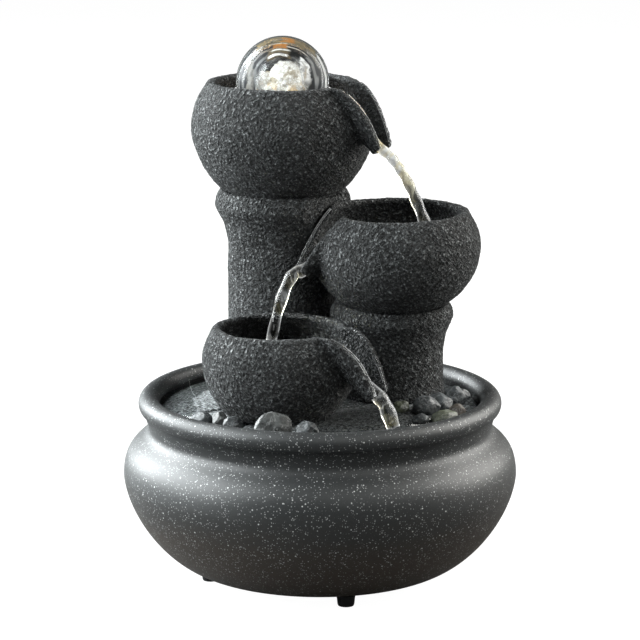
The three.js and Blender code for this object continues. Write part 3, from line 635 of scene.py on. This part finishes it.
class Bowl:
    """One bowl's shape: an ellipsoid shell, cut open at the rim, with a trough for a spout."""

    def __init__(self, node, above, below, rise, angle, root, reach, drop, halves, edge, skew):
        low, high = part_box(node)
        self.node = node
        self.radius = (high.y - low.y) / 2
        self.angle = radians(angle)
        x = low.x + self.radius if cos(self.angle) > 0 else high.x - self.radius
        self.centre = (x, (low.y + high.y) / 2)  # the spout reaches past the bowl on its own side
        self.rim = high.z
        self.bottom = low.z
        self.floor = FLOORS.get(node, low.z + BOWL_WALL)
        self.widest = high.z - rise * MM
        self.above, self.below = above * MM, below * MM
        self.root, self.reach, self.drop = root * MM, reach * MM, drop * MM
        self.root_half, self.mouth_half = (h * MM for h in halves)
        self.edge = edge
        self.skew = radians(skew)

    def skin(self, inset, bottom, top, steps):
        radius, below, above = self.radius - inset, self.below - inset, self.above - inset
        low = asin(max(-1, (bottom - self.widest) / below))
        high = asin((top - self.widest) / above)
        lower = ellipse_arc(radius, below, self.widest, low, 0, steps)
        return lower + ellipse_arc(radius, above, self.widest, 0, high, steps // 2)[1:]

    def placed(self, mesh):
        mesh.transform(Matrix.Translation((*self.centre, 0)) @ Matrix.Rotation(self.angle, 4, "Z"))
        return mesh

    def shell(self):
        roll = BOWL_WALL / 2
        outside = self.skin(0, self.bottom, self.rim - roll, 26)
        inside = self.skin(BOWL_WALL, self.floor, self.rim - roll, 24)[::-1]
        middle = (outside[-1][0] + inside[0][0]) / 2
        half = (outside[-1][0] - inside[0][0]) / 2
        turns = [pi * i / 8 for i in range(1, 8)]
        crown = [(middle + half * cos(a), self.rim - roll + roll * sin(a)) for a in turns]
        profile = [(0, self.bottom), *outside, *crown, *inside, (0, self.floor)]
        return lathe_mesh("shell", profile, 144, self.centre)

    def hollow(self):
        inside = self.skin(BOWL_WALL, self.floor, self.rim - BOWL_WALL / 2, 24)
        top = self.rim + 40 * MM
        profile = [(0, self.floor), *inside, (inside[-1][0], top), (0, top)]
        return lathe_mesh("hollow", profile, 144, self.centre)

    def bar(self, wall, past):
        """A tapered round bar down the spout's slope."""
        start, end = (Vector((spot.x, 0, spot.y)) for spot in self.ends())
        slope = (end - start).normalized()
        run = (end - start).length
        taper = (self.root_half - self.mouth_half) / run
        back = 12 * MM
        span = run + back + past
        wide, narrow = self.root_half + taper * back + wall, self.mouth_half - taper * past + wall
        profile = [(0, 0), (wide, 0), (narrow, span), (0, span)]
        mesh = lathe_mesh("bar", profile, 64)
        turn = Vector((0, 0, 1)).rotation_difference(slope).to_matrix().to_4x4()
        mesh.transform(Matrix.Translation(start - slope * back) @ turn)
        return self.placed(mesh)

    def half(self, t):
        """Half the trough's width, a share t of the way down the spout."""
        return self.root_half + (self.mouth_half - self.root_half) * t

    def ends(self):
        """Where the spout's falling edge starts and ends, as outward distance and height."""
        return Vector((self.root, self.rim)), Vector((self.reach, self.rim - self.drop))

    def brink(self, t):
        """A point of the falling edge, a curve from the rim to the mouth as t goes from 0 to 1."""
        start, end = self.ends()
        run = self.reach - self.root
        bend = Vector((self.root + run * self.edge[0], self.rim - self.drop * self.edge[1]))
        return start * (1 - t) ** 2 + bend * 2 * t * (1 - t) + end * t * t

    def clearing(self):
        """All that lies over the spout's falling edge."""
        high, far = self.rim + 30 * MM, self.reach + 30 * MM
        edge = [self.brink(i / 24) for i in range(25)]
        low = self.rim - self.drop - 8 * MM
        outline = [Vector((self.root, high)), *edge, Vector((far, low)), Vector((far, high))]
        half = self.root_half * 2
        count = len(outline)
        points = [(p.x - self.root, side * half, p.y) for side in (-1, 1) for p in outline]
        faces = [list(range(count)), list(range(2 * count - 1, count - 1, -1))]
        faces += [[k, (k + 1) % count, (k + 1) % count + count, k + count] for k in range(count)]
        mesh = mesh_from("clearing", points, faces, False)
        mesh.transform(Matrix.Translation((self.root, 0, 0)) @ Matrix.Rotation(self.skew, 4, "Z"))
        return self.placed(mesh)

    def solid(self):
        """The whole bowl as one crisp object."""
        beak = add_object("beak", self.bar(SPOUT_WALL, 0))
        cut(beak, add_object("hollow", self.hollow()))
        block, above = bmesh.new(), Matrix.Translation((*self.centre, self.rim + 100 * MM))
        bmesh.ops.create_cube(block, size=200 * MM, matrix=above)
        cut(beak, add_object("over", mesh_of("over", block)))
        item = add_object(self.node + "_cast", self.shell())
        cut(item, beak, "UNION")
        cut(item, add_object("channel", self.bar(0, 6 * MM)))
        return cut(item, add_object("clearing", self.clearing()))


SHAPES = {  # mm and degrees, in the order of Bowl's own names
    "top_bowl": (38, 47.5, 22.6, -28, 40, 62, 31.5, (12.6, 4.8), (0.62, 0.17), 0),
    "middle_bowl": (36, 38, 19.6, 194, 31, 53, 30, (14.5, 5), (0.44, 0.26), -8),
    "lower_bowl": (32, 39.5, 17.2, -28.5, 36, 59.5, 29.5, (12.4, 5), (0.68, 0.17), -4),
}
BOWLS = {node: Bowl(node, *shape) for node, shape in SHAPES.items()}


def soaked(item, splash):
    """Marks how wet each vertex is: soaked facing a stream, splashed this far round the last fall."""
    spots = [spot for node, fall in STREAMS.items() for spot in stream_path(BOWLS[node], *fall)[0]]
    foot = spots[-1]
    tree = kdtree.KDTree(len(spots))
    for i, spot in enumerate(spots):
        tree.insert(spot, i)
    tree.balance()
    wet = []
    for vertex in item.data.vertices:
        spot, _, near = tree.find(vertex.co)
        facing = min(1.0, max(0.0, 0.3 + 2 * (spot - vertex.co).normalized().dot(vertex.normal)))
        bed = min(1.0, max(0.0, 2.6 - 1.4 * near / SOAK_REACH)) * facing
        drops = min(1.0, 1.9 - (vertex.co - foot).length / splash) if splash else 0.0
        wet.append(max(bed, drops))
    item.data.attributes.new("wet", "FLOAT", "POINT").data.foreach_set("value", wet)


def rough_cast(item, rounds=3, splash=0.0):
    """Gives a crisp solid the lumps and grain of cast stone."""
    voxel = settings().cast_voxel * 1.0
    grain, lumps = settings().grain_depth, settings().lump_depth
    softened(item, voxel, rounds, (
        ("slow lumps", "SOFT_NOISE", 14 * MM, lumps, 0.5),
        ("strokes", "HARD_NOISE", 2.2 * MM, grain, 0.3),
        ("sand", "SOFT_NOISE", 1.3 * MM, grain * 0.6, 0.5),
    ))
    soaked(item, splash)
    return dressed(item, cast_stone("cast_stone"))


class FOUNTAIN_OT_bowls(Operator):
    """Cast the three bowls with their spouts"""

    bl_idname = "fountain.bowls"
    bl_label = "Bowls"

    def execute(self, context):
        for node, bowl in BOWLS.items():
            finish_piece(rough_cast(bowl.solid()), "root", "cast_stone", node)
        return {"FINISHED"}


# ---- pillars and deck
class FOUNTAIN_OT_castings(Operator):
    """Cast the two pillars and the deck that carries them"""

    bl_idname = "fountain.castings"
    bl_label = "Pillars and deck"

    def execute(self, context):
        for node, splash in (("tall_pillar", 0.0), ("short_pillar", 0.0), ("deck", 30 * MM)):
            item = add_object(node + "_cast", frame["nodes"][node].data.copy())
            rough_cast(item, 8, splash)
            if splash:
                # painted light: the deck's stone is lightened about fourfold to stand in for light that its
                # deep place under the basin's rim does not get
                dressed(item, cast_stone("deck_stone", 4.2, 0.12))
            finish_piece(item, "root", "cast_stone", node)
        return {"FINISHED"}


# ---- basin and feet
BASIN_WALL = 4.2 * MM
BASIN_FLOOR = 5 * MM


def full_arc(base, bulge, power, steps):
    """A superellipse quarter from the flat point base to the upright point bulge."""
    arc = []
    for i in range(steps + 1):
        a = i / steps * pi / 2
        r = base[0] + (bulge[0] - base[0]) * sin(a) ** (2 / power)
        z = bulge[1] + (base[1] - bulge[1]) * cos(a) ** (2 / power)
        arc.append((r, z))
    return arc


def shoulder_curve(wide, bulge_z, narrow, neck_z, steps):
    """The S-curve from the widest line up to the neck, upright at both ends."""
    heights = (bulge_z, bulge_z + 20 * MM, neck_z - 8 * MM, neck_z)
    knots = [Vector(knot) for knot in zip((wide, wide, narrow, narrow), heights)]
    curve = []
    for i in range(1, steps + 1):
        t = i / steps
        shares = ((1 - t) ** 3, 3 * t * (1 - t) ** 2, 3 * t * t * (1 - t), t ** 3)
        curve.append(tuple(sum((k * w for k, w in zip(knots, shares)), Vector((0, 0)))))
    return curve


def basin_skin(inset, bottom):
    """One skin of the basin from its flat base over the belly and the shoulder to the neck."""
    low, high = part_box("basin")
    base, neck, neck_z, bulge_z = 63 * MM, 91.5 * MM, low.z + 77 * MM, low.z + 51 * MM
    belly = full_arc((base - inset, bottom), (high.x - inset, bulge_z), 1.6, 40)
    return belly + shoulder_curve(high.x - inset, bulge_z, neck - inset, neck_z, 30)


def basin_inside():
    return basin_skin(BASIN_WALL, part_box("basin")[0].z + BASIN_FLOOR)


def basin_profile():
    low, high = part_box("basin")
    tube = 5.6 * MM
    lip = (91 * MM, high.z - tube)
    turns = [radians(-64 + 290 * i / 30) for i in range(31)]
    crown = [(lip[0] + tube * cos(a), lip[1] + tube * sin(a)) for a in turns]
    inside = basin_inside()
    return [(0, low.z), *basin_skin(0, low.z), *crown, *inside[::-1], (0, inside[0][1])]


class FOUNTAIN_OT_basin(Operator):
    """Turn the basin with a hole for the gland in its back wall, and its feet"""

    bl_idname = "fountain.basin"
    bl_label = "Basin and feet"

    def execute(self, context):
        basin = add_object("basin_shell", lathe_mesh("basin_shell", basin_profile(), 192))
        gland = centre_of("cord_gland")
        bore, inner, outer = 4.3 * MM, 70 * MM, 120 * MM
        hole = [(0, inner), (bore, inner), (bore, outer), (0, outer)]
        cut(basin, add_object("hole", lathe_mesh("hole", hole, 48, (gland.x, gland.z), "Y")))
        dressed(basin, basin_lacquer("basin_lacquer"))
        finish_piece(basin, "root", "basin_glaze", "basin")
        rubber = moulded("black_rubber", settings().rubber, 0.6)
        for i in range(1, 5):
            node = f"foot_{i}"
            low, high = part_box(node)
            middle = (low + high) / 2
            top, r = high.z, (high.x - low.x) / 2
            profile = [(0, 0), (r - 1.5 * MM, 0), (r - 0.9 * MM, 0.2 * MM), (r - 0.6 * MM, 0.8 * MM),
                       (r - 0.1 * MM, top - 0.8 * MM), (r, top - 0.3 * MM), (r - 0.3 * MM, top), (0, top)]
            foot = lathe_mesh("foot", profile, 48, (middle.x, middle.y))
            add_piece(f"rubber_foot_{i}", foot, rubber, "root", "black_rubber", node)
        return {"FINISHED"}


# ---- ball
LOBES = (  # across, towards the front, up and radius (mm) of each mound of foam, and its number of lumps
    (1.6, 0, 2.0, 7.0, 90), (-7.2, 1.0, -1.4, 3.0, 20), (-6.6, 1.0, 2.2, 3.2, 20), (8.6, 0.5, 0.6, 2.4, 10),
    (-2.6, 3.5, -2.4, 4.8, 24), (4.4, 4.0, -2.8, 5.0, 24), (6.2, 0.5, 9.2, 1.1, 4), (8.2, 0.5, 7.4, 1.7, 6),
    (9.8, 0.5, 5.0, 1.2, 4),
)
# sheets in the glass that paint glowing rings of reflected light
FILMS = {"inner_film": (11.6, 0.4), "middle_film": (13.9, 0.1), "outer_film": (16.2, 0.3)}  # mm, greyness
SKIN = 0.1 * MM  # thickness of the painted skin round the glass


def add_sphere(bm, centre, radius, fineness):
    place = Matrix.Translation(centre)
    bmesh.ops.create_icosphere(bm, subdivisions=fineness, radius=radius, matrix=place)


def bubble_mesh(heart):
    """Mounds of foam about the heart of the ball, lumpy with bubbles run together."""
    chance = random.Random(settings().seed)
    bm = bmesh.new()
    for across, front, up, reach, count in LOBES:
        middle = heart + Vector((across, -front, up)) * MM
        add_sphere(bm, middle, reach * MM, 4)
        for _ in range(count):
            turn, rise = chance.uniform(0, 2 * pi), asin(chance.uniform(-0.5, 1))
            away = Vector((cos(turn) * cos(rise), sin(turn) * cos(rise), sin(rise)))
            size = chance.uniform(0.5, 1.1)
            add_sphere(bm, middle + away * (reach - 0.35 * size) * MM, size * MM, 2)
    return mesh_of("bubbles", bm)


def sphere_mesh(name, centre, radius):
    bm = bmesh.new()
    add_sphere(bm, centre, radius, 6)
    return shade_smooth(mesh_of(name, bm))


class FOUNTAIN_OT_ball(Operator):
    """Polish the glass ball and seed the bubbles in its heart"""

    bl_idname = "fountain.ball"
    bl_label = "Glass ball"

    def execute(self, context):
        low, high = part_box("glass_ball")
        centre, radius = (low + high) / 2, (high.z - low.z) / 2
        ball = sphere_mesh("polished_ball", centre, radius - SKIN)
        add_piece("polished_ball", ball, ball_glass(), "ball", "clear_glass", "glass_ball")
        for name, (reach, shade) in FILMS.items():
            film = sphere_mesh(name, centre, reach * MM)
            add_piece(name, film, painted_ring_film(name, shade), "ball", "clear_glass")
        skin = sphere_mesh("wet_skin", centre, radius)
        add_piece("wet_skin", skin, wet_skin("wet_skin"), "ball", "clear_glass")
        mounds = bubble_mesh(centre - Vector((0, 0, 1.2 * MM)))
        bubbles = softened(add_object("trapped_bubbles", mounds, foam("white_bubbles")), 0.3 * MM, 3)
        finish_piece(bubbles, "ball", "clear_glass")
        return {"FINISHED"}


# ---- water
def ribbon(name, path, widths, depths, side, sides=20):
    """A closed tube of elliptical section along a path; side is its flat direction."""
    points, faces = [], []
    for i, spot in enumerate(path):
        ahead = (path[min(i + 1, len(path) - 1)] - path[max(i - 1, 0)]).normalized()
        across = (side - ahead * side.dot(ahead)).normalized()
        up = across.cross(ahead).normalized()
        for k in range(sides):
            a = 2 * pi * k / sides
            points.append(spot + across * (widths[i] / 2 * cos(a)) + up * (depths[i] / 2 * sin(a)))
    for i in range(len(path) - 1):
        for k in range(sides):
            n = (k + 1) % sides
            faces.append([i * sides + k, i * sides + n, (i + 1) * sides + n, (i + 1) * sides + k])
    faces.append(list(range(sides))[::-1])
    faces.append([(len(path) - 1) * sides + k for k in range(sides)])
    return mesh_from(name, points, faces)


LEVELS = {"top_bowl": 3.1 * MM, "middle_bowl": -4.5 * MM, "lower_bowl": 2.7 * MM}  # over the widest line
STREAMS = {  # first slope and curve (per mm) of each fall, height of its end, thickness at mouth and end
    "top_bowl": (0.5, 0.037, BOWLS["middle_bowl"].widest + LEVELS["middle_bowl"], 5.2 * MM, 6.2 * MM),
    "middle_bowl": (-0.6, 0.165, BOWLS["lower_bowl"].widest + LEVELS["lower_bowl"], 6.4 * MM, 5.2 * MM),
    "lower_bowl": (0.4, 0.156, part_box("deck")[1].z + 0.2 * MM, 7.0 * MM, 7.4 * MM),
}
SWELL = ((31, 2.6), (28.6, 7), (27, 12), (26, 15))  # radius and rise (mm) of the water round the ball
BEAD_OUT, BEAD_DOWN = 0.7 * MM, 0.25 * MM  # where the wet beads lie on the trough's edges
FALL_STEP = 0.8  # mm outwards from one point of a fall to the next
SPREAD = 12  # points of a path from its start along which the water spreads wide


def stream_path(bowl, slope, curve, end, mouth, foot):
    """Down the trough's floor, over its mouth, then the fall; with the thickness at each point."""
    out = Vector((cos(bowl.angle), sin(bowl.angle), 0))
    origin = Vector((*bowl.centre, 0))
    axis = Vector((bowl.reach - bowl.root, 0, -bowl.drop)).normalized()
    down = Vector((axis.z, 0, -axis.x))
    wall = bowl.radius - BOWL_WALL - 3 * MM
    path, widths = [], []
    for i in range(25):
        t = i / 24
        thick = mouth * (0.4 + 0.6 * t)
        sunk = bowl.half(t) + SINK - thick / 2
        r = bowl.root + (bowl.reach - bowl.root) * t + down.x * sunk
        if r < wall:
            continue
        path.append(origin + out * r + Vector((0, 0, bowl.rim - bowl.drop * t + down.z * sunk)))
        widths.append(thick)
    tip = path[-1]
    fall, s = tip.z - end, 0.0
    while True:
        s += FALL_STEP
        drop = (slope * s + curve * s * s) * MM
        if drop > fall:
            break
        path.append(tip + out * (s * MM) + Vector((0, 0, -drop)))
        widths.append((mouth + (foot - mouth) * drop / fall) * (1 + 0.09 * sin(s * 1.3)))
    for _ in range(6):
        path[1:-1] = [(a + b * 2 + c) / 4 for a, b, c in zip(path, path[1:], path[2:])]
    return path, widths, out


def lip_line(bowl, side):
    """The wet crest along one cheek of a spout, from the rim down to the mouth."""
    start, end = bowl.ends()
    slope = (end - start).normalized()
    rise = Vector((-slope.y, slope.x))
    line = []
    for i in range(41):
        t = 0.04 + 0.95 * i / 40
        spot = bowl.brink(t)
        along, over = (spot - start).dot(slope), (spot - start).dot(rise)
        half = bowl.half(along / (end - start).length) + BEAD_OUT
        across = sqrt(max(half * half - over * over, 0))
        place = Vector((spot.x, side * across, spot.y)) - Vector((0, 0, BEAD_DOWN))
        turned = Matrix.Rotation(bowl.angle, 4, "Z") @ place
        line.append(turned + Vector((*bowl.centre, 0)))
    return line


def pool(node):
    """The standing water of a bowl, its sides sunk a little into the wall."""
    bowl = BOWLS[node]
    level = bowl.widest + LEVELS[node]
    foot = bowl.floor - SETTLE
    side = bowl.skin(BOWL_WALL - SINK, foot, level, 16)
    profile = [(0, foot), *side, (0, level)]
    if node == "top_bowl":
        low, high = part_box("glass_ball")
        ball, heart = (high.z - low.z) / 2 + SEAM, (low.z + high.z) / 2
        swell = [(r * MM, level + z * MM) for r, z in SWELL]
        swell.insert(0, (bowl.radius * 0.7, level + 0.4 * MM))
        under = ellipse_arc(ball, ball, heart, asin((swell[-1][1] - heart) / ball), -pi / 2, 40)
        profile = [(0, foot), *side, *swell, *under[:-1], (0, heart - ball)]
    return lathe_mesh(node + "_pool", profile, 96, bowl.centre)


class FOUNTAIN_OT_water(Operator):
    """Pour the streams, the pools and the reservoir"""

    bl_idname = "fountain.water"
    bl_label = "Water"

    def execute(self, context):
        fast, wet = running_water("running_water"), running_water("wet_lip", 0.0)
        # the top pool glows at its edges: painted highlight on the swell round the ball
        still = dict.fromkeys(BOWLS, water()) | {"top_bowl": running_water("spilling_water", 0.0)}
        for node, fall in STREAMS.items():
            path, depths, out = stream_path(BOWLS[node], *fall)
            side = Vector((-out.y, out.x, 0))
            widths = [d * (1.5 if i < SPREAD else 1.15) for i, d in enumerate(depths)]
            stream = ribbon("stream", path, widths, depths, side)
            add_piece(node + "_stream", stream, fast, "root", "clear_glass")
            for hand in (-1, 1):
                line = lip_line(BOWLS[node], hand)
                # beads along the spout's cheeks, whose glowing edges paint the highlight on the wet crest
                bead = ribbon("bead", line, [1.2 * MM] * len(line), [1.1 * MM] * len(line), side, 8)
                add_piece(f"{node}_bead_{hand + 2}", bead, wet, "root", "clear_glass")
            add_piece(node + "_pool", pool(node), still[node], "root", "clear_glass")
        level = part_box("deck")[1].z - 1.4 * MM
        wall = [(r + SINK, z - SETTLE) for r, z in basin_inside()]
        profile = [(0, wall[0][1]), *wall, (wall[-1][0], level), (0, level)]
        reservoir = lathe_mesh("reservoir", profile, 96)
        add_piece("reservoir", reservoir, water(), "root", "clear_glass")
        return {"FINISHED"}


# ---- loose stones
BRIGHTEST = 0.06  # the body of a wet stone is no paler
SLOTS = {piece["node"]: piece["material_slot"] for piece in frame["record"]["subparts"]}


class FOUNTAIN_OT_pebbles(Operator):
    """Break and wear the loose stones on the deck"""

    bl_idname = "fountain.pebbles"
    bl_label = "Pebbles"

    def execute(self, context):
        tones = {m["slot"]: tuple(m["base_color"][:3]) for m in frame["record"]["materials"]}
        worn = ("worn faces", "SOFT_NOISE", 4 * MM, 0.8 * MM, 0.5)
        for node, source in frame["nodes"].items():
            if not node.startswith("pebble"):
                continue
            item = softened(add_object("stone_" + node[-2:], source.data.copy()), 0.45 * MM, 3, (worn,))
            tone = tones[SLOTS[node]]
            pale = max(1.0, max(tone) / BRIGHTEST)
            dressed(item, broken_stone(SLOTS[node], tuple(c / pale for c in tone)))
            finish_piece(item, "root", SLOTS[node], node)
        return {"FINISHED"}


# ---- inner parts
MOULDED = {  # tone and roughness; the sponge also has a coarser, deeper grain
    "white_plastic": ((0.66, 0.66, 0.63), 0.4),
    "pump_plastic": ((0.014, 0.016, 0.018), 0.45),
    "circuit_board": ((0.02, 0.09, 0.04), 0.35),
    "filter_sponge": ((0.02, 0.022, 0.025), 0.9, 500.0, 0.6 * MM),
    "black_cable": ((0.012, 0.012, 0.013), 0.5),
    "polished_steel": ((0.55, 0.56, 0.58), 0.25),
}


class FOUNTAIN_OT_works(Operator):
    """Finish the pump, the light, the tube and the leads inside"""

    bl_idname = "fountain.works"
    bl_label = "Pump and light"

    def execute(self, context):
        finishes = {slot: moulded(slot, *look) for slot, look in MOULDED.items()}
        finishes["black_rubber"] = moulded("black_rubber", settings().rubber, 0.6)
        finishes["clear_plastic"] = lit_lens("clear_plastic")
        finishes["clear_vinyl"] = clear("clear_vinyl", (0.8, 0.84, 0.84), 1.45, 0.2)
        finishes["clear_glass"] = ball_glass()
        finishes["cast_stone"] = cast_stone("cast_stone")
        finishes["basin_glaze"] = basin_lacquer("basin_lacquer")
        for node, item in frame["nodes"].items():
            for place in item.material_slots:
                place.material = finishes.get(SLOTS[node], place.material)
        return {"FINISHED"}


# ---- stage
LAMPS = {  # place, height aimed at, size (m), power (W) and tone
    "key": ((-1.25, 0.2, 0.84), 0.14, (2.2, 1.4), 100, (0.93, 0.985, 1.0)),
    "kicker": ((-1.05, 0.8, 0.5), 0.1, (0.6, 0.8), 16, (0.93, 0.985, 1.0)),
    "rim": ((1.2, 0.45, 0.75), 0.14, (1.3, 1.1), 31, (1.0, 0.99, 0.95)),
    "front": ((0.95, -1.2, 1.5), 0.14, (2.8, 2.2), 22, (0.97, 1.0, 0.98)),
}
CAMERA_TILT = 12.38  # degrees down
FLOOR_RADIUS = 8


def area_light(name, place, height, size, power, tone):
    lamp = bpy.data.lights.new(name, "AREA")
    lamp.shape, lamp.energy, lamp.color = "RECTANGLE", power, tone
    lamp.size, lamp.size_y = size
    item = add_object(name, lamp)
    item.location = place
    item.rotation_euler = (Vector((0, 0, height)) - item.location).to_track_quat("-Z", "Y").to_euler()


def seen_directly(graph):
    """One on camera rays alone, and one on camera, mirror and lens rays."""
    light = graph.outputs("ShaderNodeLightPath")
    seen = graph.math("MAXIMUM", light["Is Camera Ray"], light["Is Glossy Ray"])
    return light["Is Camera Ray"], graph.math("MAXIMUM", seen, light["Is Transmission Ray"])


class FOUNTAIN_OT_stage(Operator):
    """Set the camera, the lamps and the pale floor"""

    bl_idname = "fountain.stage"
    bl_label = "Stage"

    def execute(self, context):
        scene = context.scene
        lens = bpy.data.cameras.new("camera")
        lens.sensor_width, lens.lens, lens.clip_end = 36, 176.06, 50
        camera = add_object("camera", lens)
        camera.location = (0, -1.62, 0.495)
        camera.rotation_euler = (radians(90 - CAMERA_TILT), 0, 0)
        scene.camera = camera
        for name, lamp in LAMPS.items():
            area_light(name, *lamp)

        scene.world = bpy.data.worlds.new("studio")
        scene.world.use_nodes = True
        graph = Graph(scene.world.node_tree)
        _, seen = seen_directly(graph)
        graph.feed(graph.tree.nodes["Background"].inputs["Strength"], seen * 0.87 + 0.13)

        graph = Finish("floor")
        direct, _ = seen_directly(graph)
        graph.shade(Base_Color=graph.mix(direct, (0.1, 0.1, 0.1), (0.9, 0.9, 0.9)), Roughness=0.8)
        glow = graph.node("ShaderNodeEmission", Strength=1.14)
        blend = graph.node("ShaderNodeMixShader")
        sources = (direct * 0.86, Value(graph, graph.shader.outputs[0]), Value(graph, glow.outputs[0]))
        for socket, source in zip(blend.inputs, sources):
            graph.feed(socket, source)
        graph.feed(graph.tree.nodes["Material Output"].inputs["Surface"], Value(graph, blend.outputs[0]))
        disc = [(0, -2 * MM), (FLOOR_RADIUS, -2 * MM), (FLOOR_RADIUS, 0), (0, 0)]
        add_object("floor", lathe_mesh("floor", disc, 64), graph.material)

        scene.view_settings.view_transform = "Standard"
        return {"FINISHED"}


class FOUNTAIN_PT_panel(Panel):
    """Lists the fountain's pieces and settings."""

    bl_idname = "FOUNTAIN_PT_panel"
    bl_label = "Fountain"
    bl_space_type = "VIEW_3D"
    bl_region_type = "UI"
    bl_category = "Fountain"

    def draw(self, context):
        column = self.layout.column()
        for operator in OPERATORS:
            column.operator(operator.bl_idname)
        for name in FountainSettings.__annotations__:
            column.prop(context.scene.fountain, name)


OPERATORS = (
    FOUNTAIN_OT_stage, FOUNTAIN_OT_basin, FOUNTAIN_OT_castings, FOUNTAIN_OT_bowls,
    FOUNTAIN_OT_ball, FOUNTAIN_OT_water, FOUNTAIN_OT_pebbles, FOUNTAIN_OT_works,
)


CLASSES = (FountainSettings, *OPERATORS, FOUNTAIN_PT_panel)


def register():
    for item in CLASSES:
        bpy.utils.register_class(item)
    bpy.types.Scene.fountain = PointerProperty(type=FountainSettings)


def unregister():
    del bpy.types.Scene.fountain
    for item in reversed(CLASSES):
        bpy.utils.unregister_class(item)


def main():
    register()
    bpy.ops.fountain.stage()
    bpy.ops.fountain.basin()
    bpy.ops.fountain.castings()
    bpy.ops.fountain.bowls()
    bpy.ops.fountain.ball()
    bpy.ops.fountain.water()
    bpy.ops.fountain.pebbles()
    bpy.ops.fountain.works()


if __name__ == "__main__":
    main()
